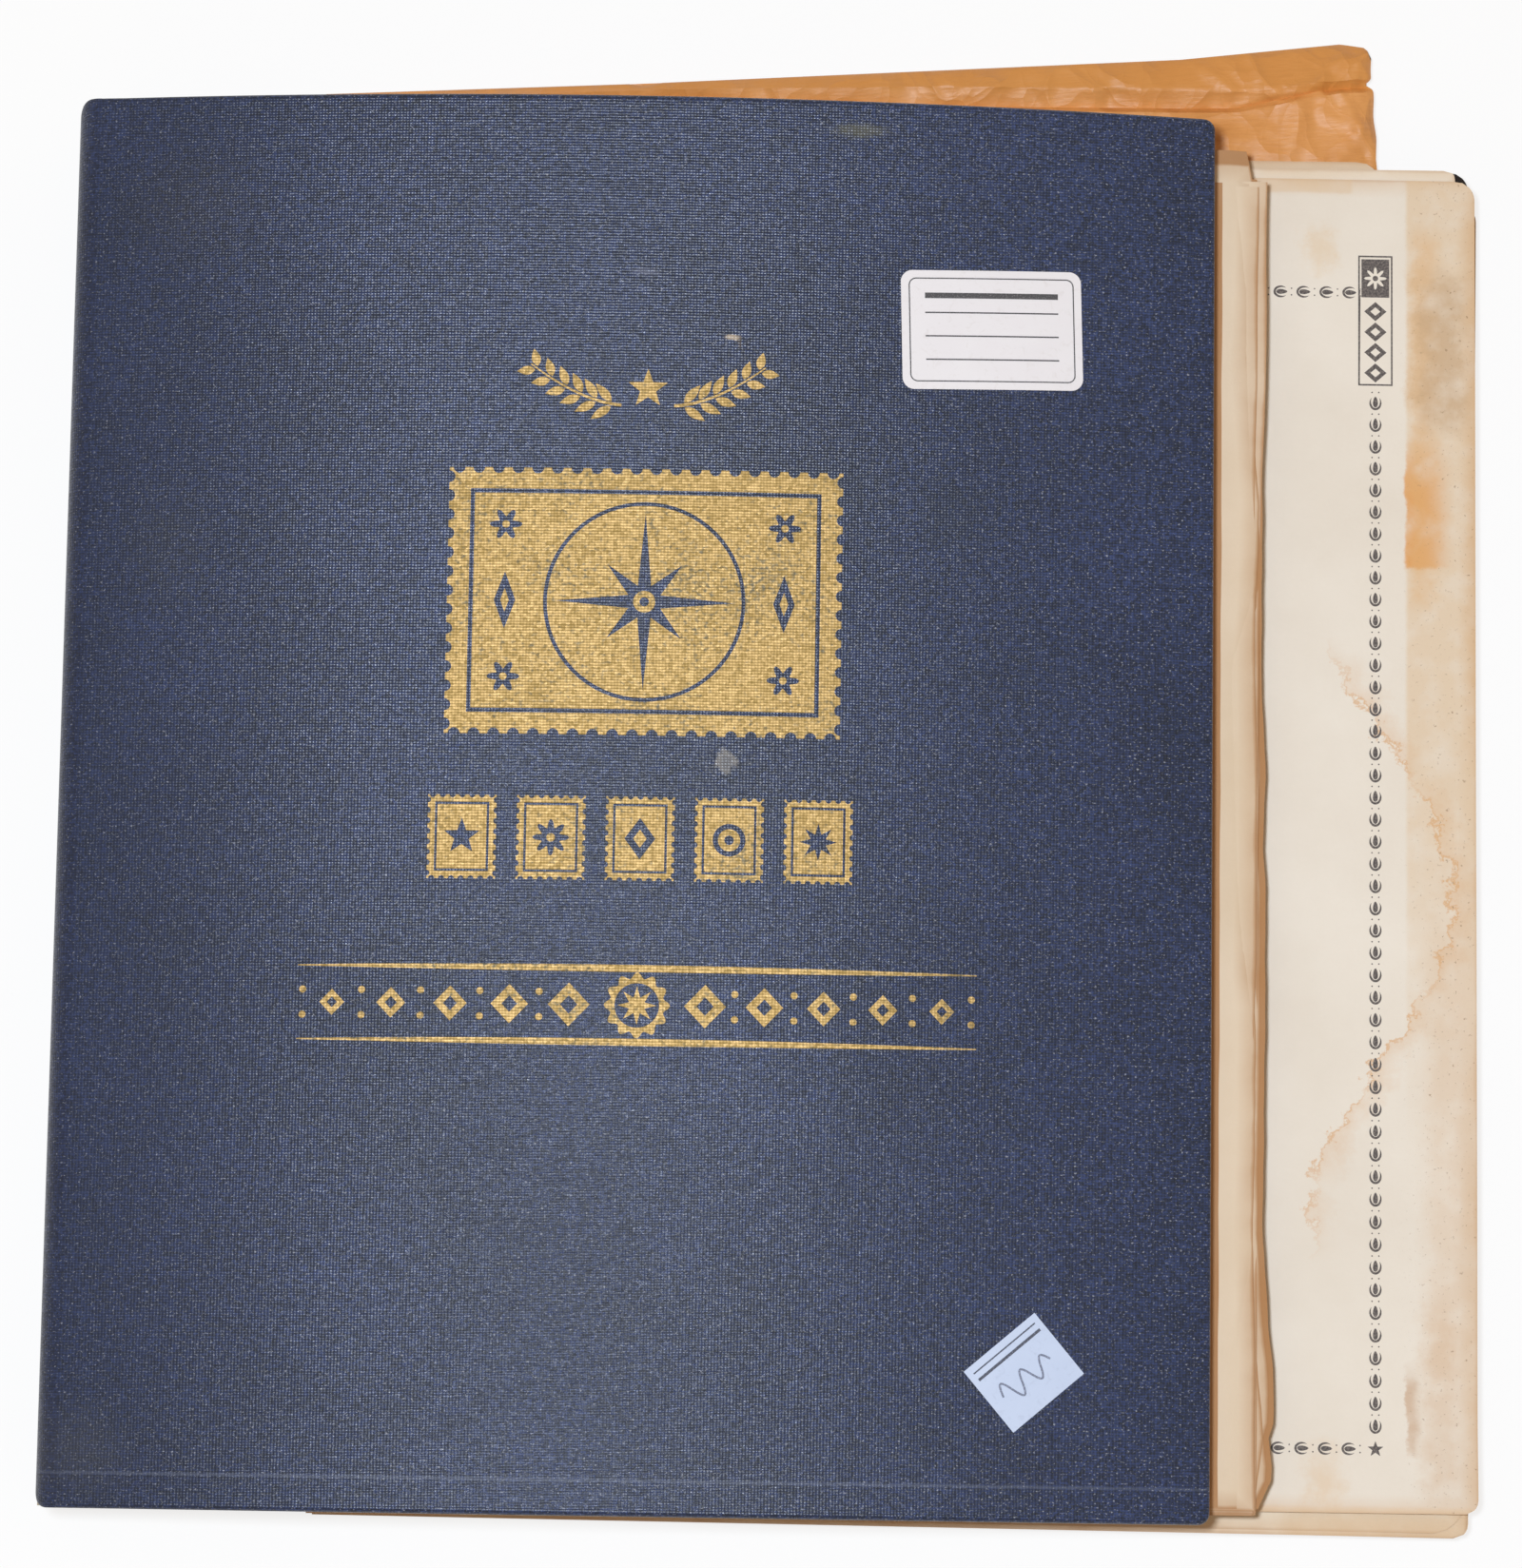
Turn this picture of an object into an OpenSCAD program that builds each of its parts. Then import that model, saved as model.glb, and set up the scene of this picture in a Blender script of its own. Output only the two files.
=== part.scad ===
// Two-post loose-leaf stamp album with loose leaves and an envelope tucked in.
// It lies closed on its back cover, with the spine at the left and the head up.

/* [Cover case] */
// Width of the cover from the spine to the fore-edge
cover_w = 241.5; // [236:0.5:245]
// Height of the cover from tail to head
cover_h = 296; // [294:0.5:300]
// Thickness of the stiff boards
board_t = 2.2; // [1.8:0.1:2.4]
// Thickness of the covering cloth
cloth_t = 0.4; // [0.3:0.05:0.45]
// Thickness of the paper linings
lining_t = 0.3; // [0.2:0.05:0.35]
// Width of cloth turned in over the edges of a board
turn_in = 14; // [10:1:18]
// Radius of the cover's corners
corner_r = 2.5; // [1.5:0.5:4]
// Radius of the cloth where it folds round the spine
fold_r = 4.4; // [4:0.1:4.8]
// Height of the album at the crown of the arched front cover
crown_h = 46; // [45.5:0.5:50]
// Distance of the crown from the spine
crown_x = 120; // [115:1:125]
// Radius of the arch of the front cover
arch_r = 640; // [620:10:700]

/* [Binding] */
// Distance of the screw posts from the spine
post_x = 18; // [17:0.5:19]
// Distance between the two posts
post_pitch = 108; // [80:1:140]
// Radius of a post's barrel
barrel_r = 2.4; // [2.2:0.1:2.6]
// Radius of the flat heads on the posts and screws
head_r = 5; // [4.5:0.1:5.5]
// Thickness of those heads
head_t = 1.2; // [1:0.1:1.3]
// Width of the two stiff binding strips
strip_w = 25; // [22:0.5:25]
// Thickness of the binding strips
strip_t = 2; // [1.8:0.1:2]
// Number of filler guards stacked under the leaves
guard_count = 6; // [3:1:8]

/* [Bound leaves] */
// Height of a leaf from tail to head
leaf_h = 285.75; // [280:0.25:287]
// Distance of the leaves' back edge from the spine
leaf_x = 9.5; // [9:0.5:10]
// Reach of the lowest leaf's fore-edge from the spine
fore_low = 252; // [248:0.5:254]
// Reach of the uppermost leaf's fore-edge, drawn back by the arch
fore_high = 237; // [232:0.5:238]
// Rise of the lowest leaf at its fore-edge
fore_lift = 6.5; // [4:0.5:8]
// Depth of the clamped leaves at the posts
clamp_depth = 16.4; // [14:0.1:16.4]
// Number of leaf sections that turn one by one
section_count = 6; // [4:1:6]

/* [Loose leaves] */
// Width of a loose leaf
loose_w = 242; // [236:0.5:242]
// Thickness of a single loose leaf
loose_t = 0.3; // [0.2:0.05:0.3]
// Reach of the loose leaves from the spine
loose_right = 299.5; // [296:0.5:305]
// Thickness of the bundle of loose leaves
bundle_t = 4; // [3:0.1:4]

/* [Envelope] */
// Width of the envelope
envelope_w = 228.6; // [220:0.1:230]
// Length of the envelope
envelope_h = 304.8; // [300:0.1:306]
// Thickness of the filled envelope
envelope_t = 2.8; // [2.2:0.1:2.8]
// Turn of the envelope against the album, in degrees
envelope_turn = 3.4; // [2.5:0.1:3.6]
// Depth of the envelope's closing flap
flap_h = 42; // [30:1:60]

/* [Labels] */
// Width of the large label
label_w = 38.1; // [30:0.1:50]
// Height of the large label
label_h = 25.4; // [20:0.1:35]
// Width of the small sticker
sticker_w = 19; // [14:0.5:25]
// Height of the small sticker
sticker_h = 16; // [12:0.5:20]

/* [Hidden] */
$fn = 720;

round_fn = 64;
air = 0.3;                                   // gap between pieces that slide or turn
far = 60;                                    // height past the top of everything
cut = 1;                                     // overrun of a cut past a face

// Depths below the outer face of a cover: board, turned-in cloth, lining, inner face
d_board = cloth_t;
d_turn = cloth_t + board_t;
d_lining = d_turn + cloth_t;
d_inner = d_lining + lining_t;

lining_margin = 5;                           // turned-in cloth left bare round a lining
case_x = fold_r + 0.7;                       // where a cover begins, past the folded cloth
board_x = case_x + 1;
back_w = cover_w + 1.5;
spine_foot = fold_r + 0.7;
arch_z = crown_h - arch_r;
function arch_top(x, depth = 0) =
    arch_z + sqrt(pow(arch_r - depth, 2) - pow(x - crown_x, 2));
spine_h = arch_top(0) - fold_r;              // where the spine cloth begins to fold forwards

strip_x = 6;
strip_y = 8;
strip_z = d_inner;
hole_r = 3.175;
screw_r = 1.6;
bore_r = 1.65;
bore_depth = 20;
guard_z = strip_z + strip_t;
hinge_x = strip_x + strip_w + 0.6;           // line where the leaves turn

leaf_y = 3;
leaf_shift = [1.5, 0.5, 2, 3.2, -1.8, -0.6];  // how far each section sits towards the head
reach_share = 0.4;                           // share of the leaves that reach right out
drawn_share = 0.35;                          // share over which the others are drawn back
swell_w = 60;                                // width over which the leaves spread to full depth
lift_x = 200;                                // where the fore-edge begins to lift
cover_air = 0.8;
leaf_air = 0.45;                             // gap between one section and the next
root_air = 11;                               // bevel at the back of a section, so it can turn
profile_steps = 16;

envelope_z = d_inner + air;
bundle_z = envelope_z + envelope_t + air;
third_z = bundle_z + bundle_t + air;
stock_z = third_z + loose_t + air;
second_z = stock_z + loose_t + air;
printed_z = second_z + loose_t + air;
leaf_z = printed_z + loose_t + air;          // underside of the bound leaves
clamp_z = leaf_z + clamp_depth;              // underside of the front binding strip
guard_t = (leaf_z - guard_z) / guard_count;
// Each loose leaf: right edge, tail edge, turn in degrees about its tail corner at the right
printed_place = [loose_right, 2.9, 0];
second_place = [296.6, 5.4, 0.25];
stock_place = [loose_right - 0.7, 5.2, 0.1];
third_place = [280.5, 7.3, 0.3];
bundle_place = [loose_right - 2.3, -2.4, -0.45];
envelope_corner = [278.3, 319.3];            // head corner of the envelope at the right
kraft_t = 0.35;
round_r = 2;                                 // corner radius of the envelope and the bundle
// Reach that a turned corner loses through its rounding
function rounding_loss(turn) = round_r * (cos(turn) + abs(sin(turn)) - 1);

label_corner = [175.2, 234.4];
label_turn = 1.7;
sticker_centre = [202.5, 30.4];
sticker_turn = 40.3;
label_t = 0.15;

// The album's own origin: the middle of its footprint, on the surface that it lies on
centre_x = loose_right / 2;
centre_y = (envelope_corner[1] - rounding_loss(envelope_turn)
    + bundle_place[1] + rounding_loss(bundle_place[2])) / 2;

navy = "#3a4059";
paper = "#e5dcce";
kraft = "#dd9c63";

// Moves a piece from the spine's tail corner to the album's origin
module in_frame() translate([-centre_x, -centre_y, 0]) children();

// Rectangle with true round corners
module round_rect(x0, y0, x1, y1, r) {
    translate([x0 + r, y0]) square([x1 - x0 - 2 * r, y1 - y0]);
    translate([x0, y0 + r]) square([x1 - x0, y1 - y0 - 2 * r]);
    for (x = [x0 + r, x1 - r], y = [y0 + r, y1 - r])
        translate([x, y]) circle(r, $fn = round_fn);
}

// Plan of a cover that is open at the spine side, set in from its other edges
module cover_plan(x0, width, inset, r)
    intersection() {
        round_rect(x0 - 2 * r, inset, width - inset, cover_h - inset, r);
        translate([x0, 0]) square([width, cover_h]);
    }

// Arched layer of the front cover between two depths below its outer face
module arched(d0, d1)
    intersection() {
        translate([crown_x, cover_h, arch_z])
            rotate([90, 0, 0])
                linear_extrude(cover_h)
                    difference() {
                        circle(arch_r - d0);
                        circle(arch_r - d1);
                    }
        linear_extrude(far) children();
    }

// Flat layer of the back cover between two depths below its outer face
module flat(d0, d1) translate([0, 0, d0]) linear_extrude(d1 - d0) children();

// --- Back cover ---------------------------------------------------------

module back_board() color("#b9a98c") in_frame()
    flat(d_board, d_turn) cover_plan(board_x, back_w, cloth_t, corner_r);

module back_cloth() color(navy) in_frame()
    difference() {
        flat(0, d_lining) cover_plan(case_x, back_w, 0, corner_r);
        flat(d_board, d_turn) cover_plan(case_x, back_w, cloth_t, corner_r);
        flat(d_turn, far) cover_plan(case_x, back_w, turn_in, corner_r);
    }

module back_lining() color("#d8cdb4") in_frame() {
    flat(d_lining, d_inner) cover_plan(board_x, back_w, lining_margin, corner_r);
    flat(d_turn, d_inner) cover_plan(board_x, back_w, turn_in, corner_r);
}

// Quarter round of cloth that bends when a cover or the spine turns
module joint_cloth(z)
    translate([fold_r, cover_h, z])
        rotate([90, 0, 0])
            linear_extrude(cover_h)
                intersection() {
                    difference() {
                        circle(fold_r, $fn = round_fn);
                        circle(fold_r - cloth_t, $fn = round_fn);
                    }
                    translate([-fold_r, z > fold_r ? 0 : -fold_r]) square(fold_r);
                }

module back_joint_cloth() color(navy) in_frame() joint_cloth(fold_r);

// --- Spine --------------------------------------------------------------

// Upright strip of the spine between two distances from its outer face
module upright(x0, x1, y_inset, z0, z1)
    translate([x0, y_inset, z0]) cube([x1 - x0, cover_h - 2 * y_inset, z1 - z0]);

module spine_board() color("#b9a98c") in_frame()
    upright(d_board, d_turn, cloth_t, spine_foot + cloth_t, spine_h - cloth_t);

module spine_cloth() color(navy) in_frame()
    difference() {
        upright(0, d_lining, 0, spine_foot, spine_h);
        upright(d_board, d_turn, cloth_t, spine_foot - cut, spine_h + cut);
        upright(d_turn, d_lining + cut, turn_in, spine_foot - cut, spine_h + cut);
    }

module spine_lining() color("#d8cdb4") in_frame()
    upright(d_turn, d_inner, turn_in, spine_foot + cloth_t, spine_h - cloth_t);

module front_joint_cloth() color(navy) in_frame() joint_cloth(spine_h);

// --- Front cover --------------------------------------------------------

module front_board() color("#b9a98c") in_frame()
    arched(d_board, d_turn) cover_plan(board_x, cover_w, cloth_t, corner_r);

module front_cloth() color(navy) in_frame()
    difference() {
        arched(0, d_lining) cover_plan(case_x, cover_w, 0, corner_r);
        arched(d_board, d_turn) cover_plan(case_x, cover_w, cloth_t, corner_r);
        arched(d_turn, d_inner) cover_plan(case_x, cover_w, turn_in, corner_r);
    }

module front_lining() color("#d8cdb4") in_frame() {
    arched(d_lining, d_inner) cover_plan(board_x, cover_w, lining_margin, corner_r);
    arched(d_turn, d_inner) cover_plan(board_x, cover_w, turn_in, corner_r);
}

module cover_label() color("#e2dddf") in_frame()
    arched(-label_t, 0)
        translate(label_corner) rotate(label_turn) round_rect(0, 0, label_w, label_h, 2.5);

module cover_sticker() color("#c4d0e8") in_frame()
    arched(-label_t, 0)
        translate(sticker_centre) rotate(sticker_turn) square([sticker_w, sticker_h], center = true);

// --- Binding ------------------------------------------------------------

// Puts a piece at each of the two posts
module at_posts() for (side = [-1, 1])
    translate([post_x, cover_h / 2 + side * post_pitch / 2, 0]) children();

module post_hole(r, z0, z1) at_posts()
    translate([0, 0, z0]) cylinder(h = z1 - z0, r = r, $fn = round_fn);

module binding_strip(z)
    translate([strip_x, strip_y, z]) cube([strip_w, cover_h - 2 * strip_y, strip_t]);

module back_binding_strip() color("#39405a") in_frame()
    difference() {
        binding_strip(strip_z);
        post_hole(barrel_r + 0.2, strip_z - cut, guard_z + cut);
        post_hole(head_r + 0.2, strip_z - cut, strip_z + head_t + 0.1);
    }

module filler_guards() color("#cdbd9b") in_frame()
    difference() {
        for (i = [0 : guard_count - 1])
            translate([leaf_x + 0.5 * (i % 2), leaf_y + 0.8 * (i % 3), guard_z + i * guard_t])
                cube([strip_w - 6, leaf_h - 2, guard_t]);
        post_hole(hole_r, guard_z - cut, leaf_z + cut);
    }

module front_binding_strip() color("#39405a") in_frame()
    difference() {
        binding_strip(clamp_z);
        post_hole(barrel_r + 0.2, clamp_z - cut, clamp_z + strip_t + cut);
    }

module post_barrels() color("#b08d4a") in_frame()
    difference() {
        union() {
            post_hole(head_r, strip_z, strip_z + head_t);
            post_hole(barrel_r, strip_z, clamp_z + strip_t - air);
        }
        post_hole(bore_r, clamp_z - bore_depth, clamp_z + strip_t + cut);
    }

module post_screws() color("#b08d4a") in_frame()
    difference() {
        union() {
            post_hole(head_r, clamp_z + strip_t, clamp_z + strip_t + head_t);
            post_hole(screw_r, clamp_z - bore_depth + 6, clamp_z + strip_t);
        }
        at_posts()
            translate([-head_r - cut, -0.6, clamp_z + strip_t + head_t - 0.7])
                cube([2 * (head_r + cut), 1.2, 0.7 + cut]);
    }

// --- Bound leaves -------------------------------------------------------

// Smooth step from 0 to 1
function ease(t) = let (u = max(0, min(1, t))) u * u * (3 - 2 * u);

fore_z = leaf_z + fore_lift;
root_drop = arch_top(hinge_x, d_inner) - cover_air - clamp_z;

// Heights of the underside and the top of the bound leaves at distance x from the spine
function block_low(x) = leaf_z + fore_lift * ease((x - lift_x) / (fore_low - lift_x));
function block_high(x) =
    arch_top(x, d_inner) - cover_air - root_drop * (1 - ease((x - hinge_x) / swell_w));
function leaf_height(x, share) = block_low(x) + share * (block_high(x) - block_low(x));
// The lower leaves reach out as far as the lowest one, and the upper ones are drawn back
function fore_x(share) =
    fore_low + (fore_high - fore_low) * ease((share - reach_share) / drawn_share);

// Points along a leaf's height curve between two distances from the spine
function leaf_curve(x0, x1, share, lift) =
    [for (i = [0 : profile_steps]) let (x = x0 + (x1 - x0) * i / profile_steps)
        [x, leaf_height(x, share) + lift]];

// One section of leaves, counted from the top
module leaf_section(i) {
    high = 1 - (i - 1) / section_count;
    low = 1 - i / section_count;
    translate([0, leaf_y + leaf_shift[i - 1] + leaf_h, 0])
        rotate([90, 0, 0])
            linear_extrude(leaf_h)
                polygon(concat(
                    leaf_curve(hinge_x, fore_x(high), high, -leaf_air),
                    leaf_curve(fore_x(low), hinge_x + root_air, low, 0)));
}

module leaf_margins() color(paper) in_frame()
    difference() {
        for (i = [1 : section_count])
            translate([leaf_x, leaf_y + leaf_shift[i - 1], clamp_z - i * clamp_depth / section_count])
                cube([hinge_x - air - leaf_x, leaf_h, clamp_depth / section_count]);
        post_hole(hole_r, leaf_z - cut, clamp_z + cut);
    }

module leaf_section_1() color(paper) in_frame() leaf_section(1);
module leaf_section_2() color(paper) in_frame() leaf_section(2);
module leaf_section_3() color(paper) in_frame() leaf_section(3);
module leaf_section_4() color(paper) in_frame() leaf_section(4);
module leaf_section_5() color(paper) in_frame() leaf_section(5);
module leaf_section_6() color(paper) in_frame() leaf_section(6);

// --- Loose leaves and envelope --------------------------------------------

// Flat sheet or stack with its tail corner at the right at place
module loose_sheet(place, z, t, r)
    translate([place[0], place[1], z])
        rotate(place[2])
            linear_extrude(t) round_rect(-loose_w, 0, 0, leaf_h, r);

module printed_leaf() color(paper) in_frame() loose_sheet(printed_place, printed_z, loose_t, 4);
module second_leaf() color("#e2d2ba") in_frame() loose_sheet(second_place, second_z, loose_t, 3);
module stock_leaf() color("#2a2522") in_frame() loose_sheet(stock_place, stock_z, loose_t, 0.8);
module third_leaf() color("#dcc4a4") in_frame() loose_sheet(third_place, third_z, loose_t, 3);
module loose_bundle() color(paper) in_frame() loose_sheet(bundle_place, bundle_z, bundle_t, round_r);

// Places a shape drawn with its origin at the envelope's head corner at the right
module at_envelope(z)
    translate([envelope_corner[0], envelope_corner[1], z]) rotate(envelope_turn) children();

// Flat bag of kraft paper, open inside from side to side and up to its head
module envelope_body() color(kraft) in_frame()
    at_envelope(envelope_z + kraft_t)
        difference() {
            linear_extrude(envelope_t - kraft_t) round_rect(-envelope_w, -envelope_h, 0, 0, round_r);
            translate([0, 0, kraft_t])
                linear_extrude(envelope_t - 3 * kraft_t)
                    round_rect(1 - envelope_w, 1 - envelope_h, -1, cut, 0.6);
        }

module envelope_flap() color(kraft) in_frame()
    at_envelope(envelope_z)
        linear_extrude(kraft_t) round_rect(1.5 - envelope_w, -flap_h, -1.5, -0.2, round_r);

back_board();
back_cloth();
back_lining();
back_joint_cloth();
spine_board();
spine_cloth();
spine_lining();
front_joint_cloth();
front_board();
front_cloth();
front_lining();
cover_label();
cover_sticker();
back_binding_strip();
filler_guards();
leaf_margins();
front_binding_strip();
post_barrels();
post_screws();
leaf_section_1();
leaf_section_2();
leaf_section_3();
leaf_section_4();
leaf_section_5();
leaf_section_6();
printed_leaf();
second_leaf();
stock_leaf();
third_leaf();
loose_bundle();
envelope_body();
envelope_flap();
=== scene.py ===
import math

import bmesh
import bpy
import numpy as np
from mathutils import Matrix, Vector


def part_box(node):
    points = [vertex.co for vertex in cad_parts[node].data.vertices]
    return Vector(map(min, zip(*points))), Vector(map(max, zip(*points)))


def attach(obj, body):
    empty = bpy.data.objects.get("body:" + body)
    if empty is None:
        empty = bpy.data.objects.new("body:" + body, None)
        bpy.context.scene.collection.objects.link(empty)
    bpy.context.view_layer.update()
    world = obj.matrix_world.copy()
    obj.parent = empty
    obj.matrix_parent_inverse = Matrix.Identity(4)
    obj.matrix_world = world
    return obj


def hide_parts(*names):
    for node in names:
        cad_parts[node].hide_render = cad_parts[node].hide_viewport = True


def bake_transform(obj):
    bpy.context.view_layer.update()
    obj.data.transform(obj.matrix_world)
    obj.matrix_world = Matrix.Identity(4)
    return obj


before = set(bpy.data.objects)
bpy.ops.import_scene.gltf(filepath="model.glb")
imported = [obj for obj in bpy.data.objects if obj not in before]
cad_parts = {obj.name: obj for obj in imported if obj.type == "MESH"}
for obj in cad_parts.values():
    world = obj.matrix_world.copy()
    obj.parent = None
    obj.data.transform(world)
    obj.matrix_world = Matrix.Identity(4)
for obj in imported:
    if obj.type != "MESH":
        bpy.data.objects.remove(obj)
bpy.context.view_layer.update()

# ---------------------------------------------------------------------------
# Back cover. A stiff pulp board in navy book cloth: the cloth is glued over
# the outside, turned in 14 mm round the edges, and the turned-in strip is
# closed by a pasted paper lining. The same cloth bends round the spine.

# sizes are in millimetres, places from the spine's outside, the tail edge and the table
MM = 0.001
spine_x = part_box("spine_cloth")[0].x
tail_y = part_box("back_cloth")[0].y
album_h = (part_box("back_cloth")[1].y - tail_y) / MM
back_w = (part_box("back_cloth")[1].x - spine_x) / MM
case_x = (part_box("back_cloth")[0].x - spine_x) / MM
cloth_t = 0.4
case_t = 3.0
turn_in = 14.0
corner_r = 2.5
edge_r = 1.1
inner_inset = 20.0
tucked = 0.45
cloth_lap = 1.5
spine_round = 2.8
round_reach = 9
fore_rows = 49
quarter_turn = np.linspace(0, math.pi / 2, 7)


def spot(x, y, z):
    """Points in metres from millimetres from the spine, the tail edge and the table."""
    return np.stack(np.broadcast_arrays(spine_x + x * MM, tail_y + y * MM, z * MM), -1)


def ease(t):
    """Smooth step from 0 to 1."""
    u = np.clip(t, 0, 1)
    return u * u * (3 - 2 * u)


def build(name, patches, finish):
    """One mesh from lattices of points in metres, each with its places in millimetres when laid flat."""
    corners, faces, places = [], [], []
    first = 0
    for points, flat in patches:
        rows, cols = points.shape[:2]
        at = first + np.arange(rows * cols).reshape(rows, cols)
        faces.append(np.stack([at[:-1, :-1], at[:-1, 1:], at[1:, 1:], at[1:, :-1]], -1).reshape(-1, 4))
        corners.append(points.reshape(-1, 3))
        places.append(flat.reshape(-1, 2))
        first += rows * cols
    corners, faces, places = np.concatenate(corners), np.concatenate(faces), np.concatenate(places)
    mesh = bpy.data.meshes.new(name)
    mesh.from_pydata(corners.tolist(), [], faces.tolist())
    layer = mesh.uv_layers.new(name="flat")
    layer.uv.foreach_set("vector", places[faces.ravel()].astype(np.float32).ravel())
    work = bmesh.new()
    work.from_mesh(mesh)
    bmesh.ops.remove_doubles(work, verts=work.verts, dist=1e-6)
    bmesh.ops.dissolve_degenerate(work, edges=work.edges, dist=1e-7)
    bmesh.ops.recalc_face_normals(work, faces=work.faces)
    work.to_mesh(mesh)
    work.free()
    mesh.shade_smooth()
    mesh.set_sharp_from_angle(angle=math.radians(42))
    mesh.materials.append(finish)
    piece = bpy.data.objects.new(name, mesh)
    bpy.context.scene.collection.objects.link(piece)
    return piece


def thicken(piece):
    """Gives a cloth its thickness, inwards from the face that shows."""
    thickness = piece.modifiers.new("cloth thickness", "SOLIDIFY")
    thickness.thickness = cloth_t * MM
    thickness.offset = -1


def cover_outline(width, inset, stations):
    """Head edge, fore-edge and tail edge of a cover at an inset, as places on the flat cloth."""
    r = max(corner_r - inset, 0.0)
    end = width - inset - r
    stretch = (end - case_x) / (width - case_x)
    along = np.where(stations < case_x, stations, case_x + (stations - case_x) * stretch)
    out, over = r * np.sin(quarter_turn), r * np.cos(quarter_turn)
    low, high = inset + r, album_h - inset - r
    down = np.linspace(high, low, fore_rows)[1:-1]
    fore = np.full(down.size, width - inset)
    xs = [along, end + out, fore, end + over, along[::-1]]
    ys = [np.full(along.size, high + r), high + over, down, low - out]
    ys.append(np.full(along.size, low - r))
    return np.stack([np.concatenate(xs), np.concatenate(ys)], -1)


def round_off(x, y):
    """Draws the head and tail edges in where the cover turns into the spine, as if rubbed round."""
    short = np.clip(spine_round - x, 0, spine_round)
    drop = spine_round - np.sqrt(spine_round**2 - short**2)
    near_head = ease((y - album_h + round_reach) / round_reach)
    near_tail = ease((round_reach - y) / round_reach)
    return y - drop * near_head + drop * near_tail


def case_cloth(name, line, width, start, finish):
    """Cloth of a cover, from its turned-in edges to the strip that bends round the spine."""
    stations = np.concatenate([np.linspace(start, case_x, 22)[:-1], np.linspace(case_x, width, 50)])
    # each ring of the cloth: its inset, its depth and the inset that it has when the cloth is flat
    rings = [(inset, 0, inset) for inset in (inner_inset, 12, 6, 3, 1.8)]
    for a in quarter_turn:
        rings.append((edge_r * (1 - math.sin(a)), edge_r * (1 - math.cos(a)), edge_r * (1 - a)))
    run = edge_r * (1 - math.pi / 2) - (case_t - 2 * edge_r)
    for a in quarter_turn:
        depth = case_t - edge_r * (1 - math.sin(a))
        rings.append((edge_r * (1 - math.cos(a)), depth, run - edge_r * a))
    run -= edge_r * math.pi / 2
    rings += [(inset, case_t, run - inset) for inset in (2.5, 5, 9, turn_in)]
    shape = np.array([cover_outline(width, inset, stations) for inset, depth, run in rings])
    flat = np.array([cover_outline(width, run, stations) for inset, depth, run in rings])
    depth = np.array([depth for inset, depth, run in rings])[:, None]
    # the strip round the spine holds no board, so its edge is thinner
    thin = 0.35 + 0.65 * ease((shape[..., 0] - case_x + 1.5) / 3)
    x, z = line(shape[..., 0], depth * thin)
    border = (spot(x, round_off(x, shape[..., 1]), z), flat)
    across = cover_outline(width, inner_inset, stations)[: stations.size, 0]
    down = np.linspace(album_h - inner_inset, inner_inset, fore_rows)
    sx, sy = np.meshgrid(across, down)
    x, z = line(sx, np.zeros_like(sx))
    piece = build(name, [border, (spot(x, round_off(x, sy), z), np.stack([sx, sy], -1))], finish)
    thicken(piece)
    return piece


def back_line(s, depth):
    """Section of the back cover's cloth: down the spine, round the fold and flat on the table."""
    over = case_x * (1 - math.pi / 2) - s
    depth = depth + tucked * ease(over + 0.5)
    fold = np.clip((s - case_x) / case_x + math.pi / 2, 0, math.pi / 2)
    x = case_x - (case_x - depth) * np.cos(fold) + np.maximum(s - case_x, 0)
    return x, case_x - (case_x - depth) * np.sin(fold) + np.maximum(over, 0)


def linear(colour):
    """A linear colour from its sRGB hex value."""
    parts = [int(colour[i : i + 2], 16) / 255 for i in (1, 3, 5)]
    return [c / 12.92 if c <= 0.04045 else ((c + 0.055) / 1.055) ** 2.4 for c in parts] + [1.0]


def node(tree, kind, inputs, out=0, **settings):
    """Adds a node with its settings and gives back one of its outputs.

    Each input gets a number, a colour or another node's output. On a Mix, 0 is the share of the second
    value. The values and the result are 2, 3 and 0 for numbers, and 6, 7 and 2 for colours.
    """
    made = tree.nodes.new("ShaderNode" + kind)
    for name, value in settings.items():
        setattr(made, name, value)
    for name, value in inputs.items():
        if isinstance(value, bpy.types.NodeSocket):
            tree.links.new(value, made.inputs[name])
        else:
            made.inputs[name].default_value = value
    return made.outputs[out] if made.outputs else None


def finish_of(name, **facts):
    """A new material, its tree and its shader; numbers that are the same all over sit on the shader."""
    made = bpy.data.materials.new(name)
    made.use_nodes = True
    tree = made.node_tree
    tree.nodes.clear()
    surface = node(tree, "BsdfPrincipled", facts)
    node(tree, "OutputMaterial", {"Surface": surface})
    return made, tree, surface.node


def flat_places(tree):
    """Places on the flat sheet or cloth, in millimetres."""
    return node(tree, "UVMap", {}, uv_map="flat")


def own_places(tree):
    """Places on a piece that keeps its own form, in millimetres."""
    place = node(tree, "TexCoord", {}, out="Object")
    return node(tree, "VectorMath", {0: place, 1: (1000, 1000, 1000)}, operation="MULTIPLY")


def cloth_weave(tree, place):
    """Height of the threads from 0 to 1: round weft rows crossed by flatter warp columns, 0.6 mm apart."""
    facts = {"Vector": place, "Distortion": 1.2, "Detail": 2.0, "Detail Scale": 1.4}
    per_mm = 2 * math.pi / 20
    rows = node(tree, "TexWave", {**facts, "Scale": per_mm / 0.6}, bands_direction="Y", out=1)
    columns = node(tree, "TexWave", {**facts, "Scale": per_mm / 0.66}, bands_direction="X", out=1)
    return node(tree, "Mix", {0: 0.36, 2: rows, 3: columns}, data_type="FLOAT")


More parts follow.
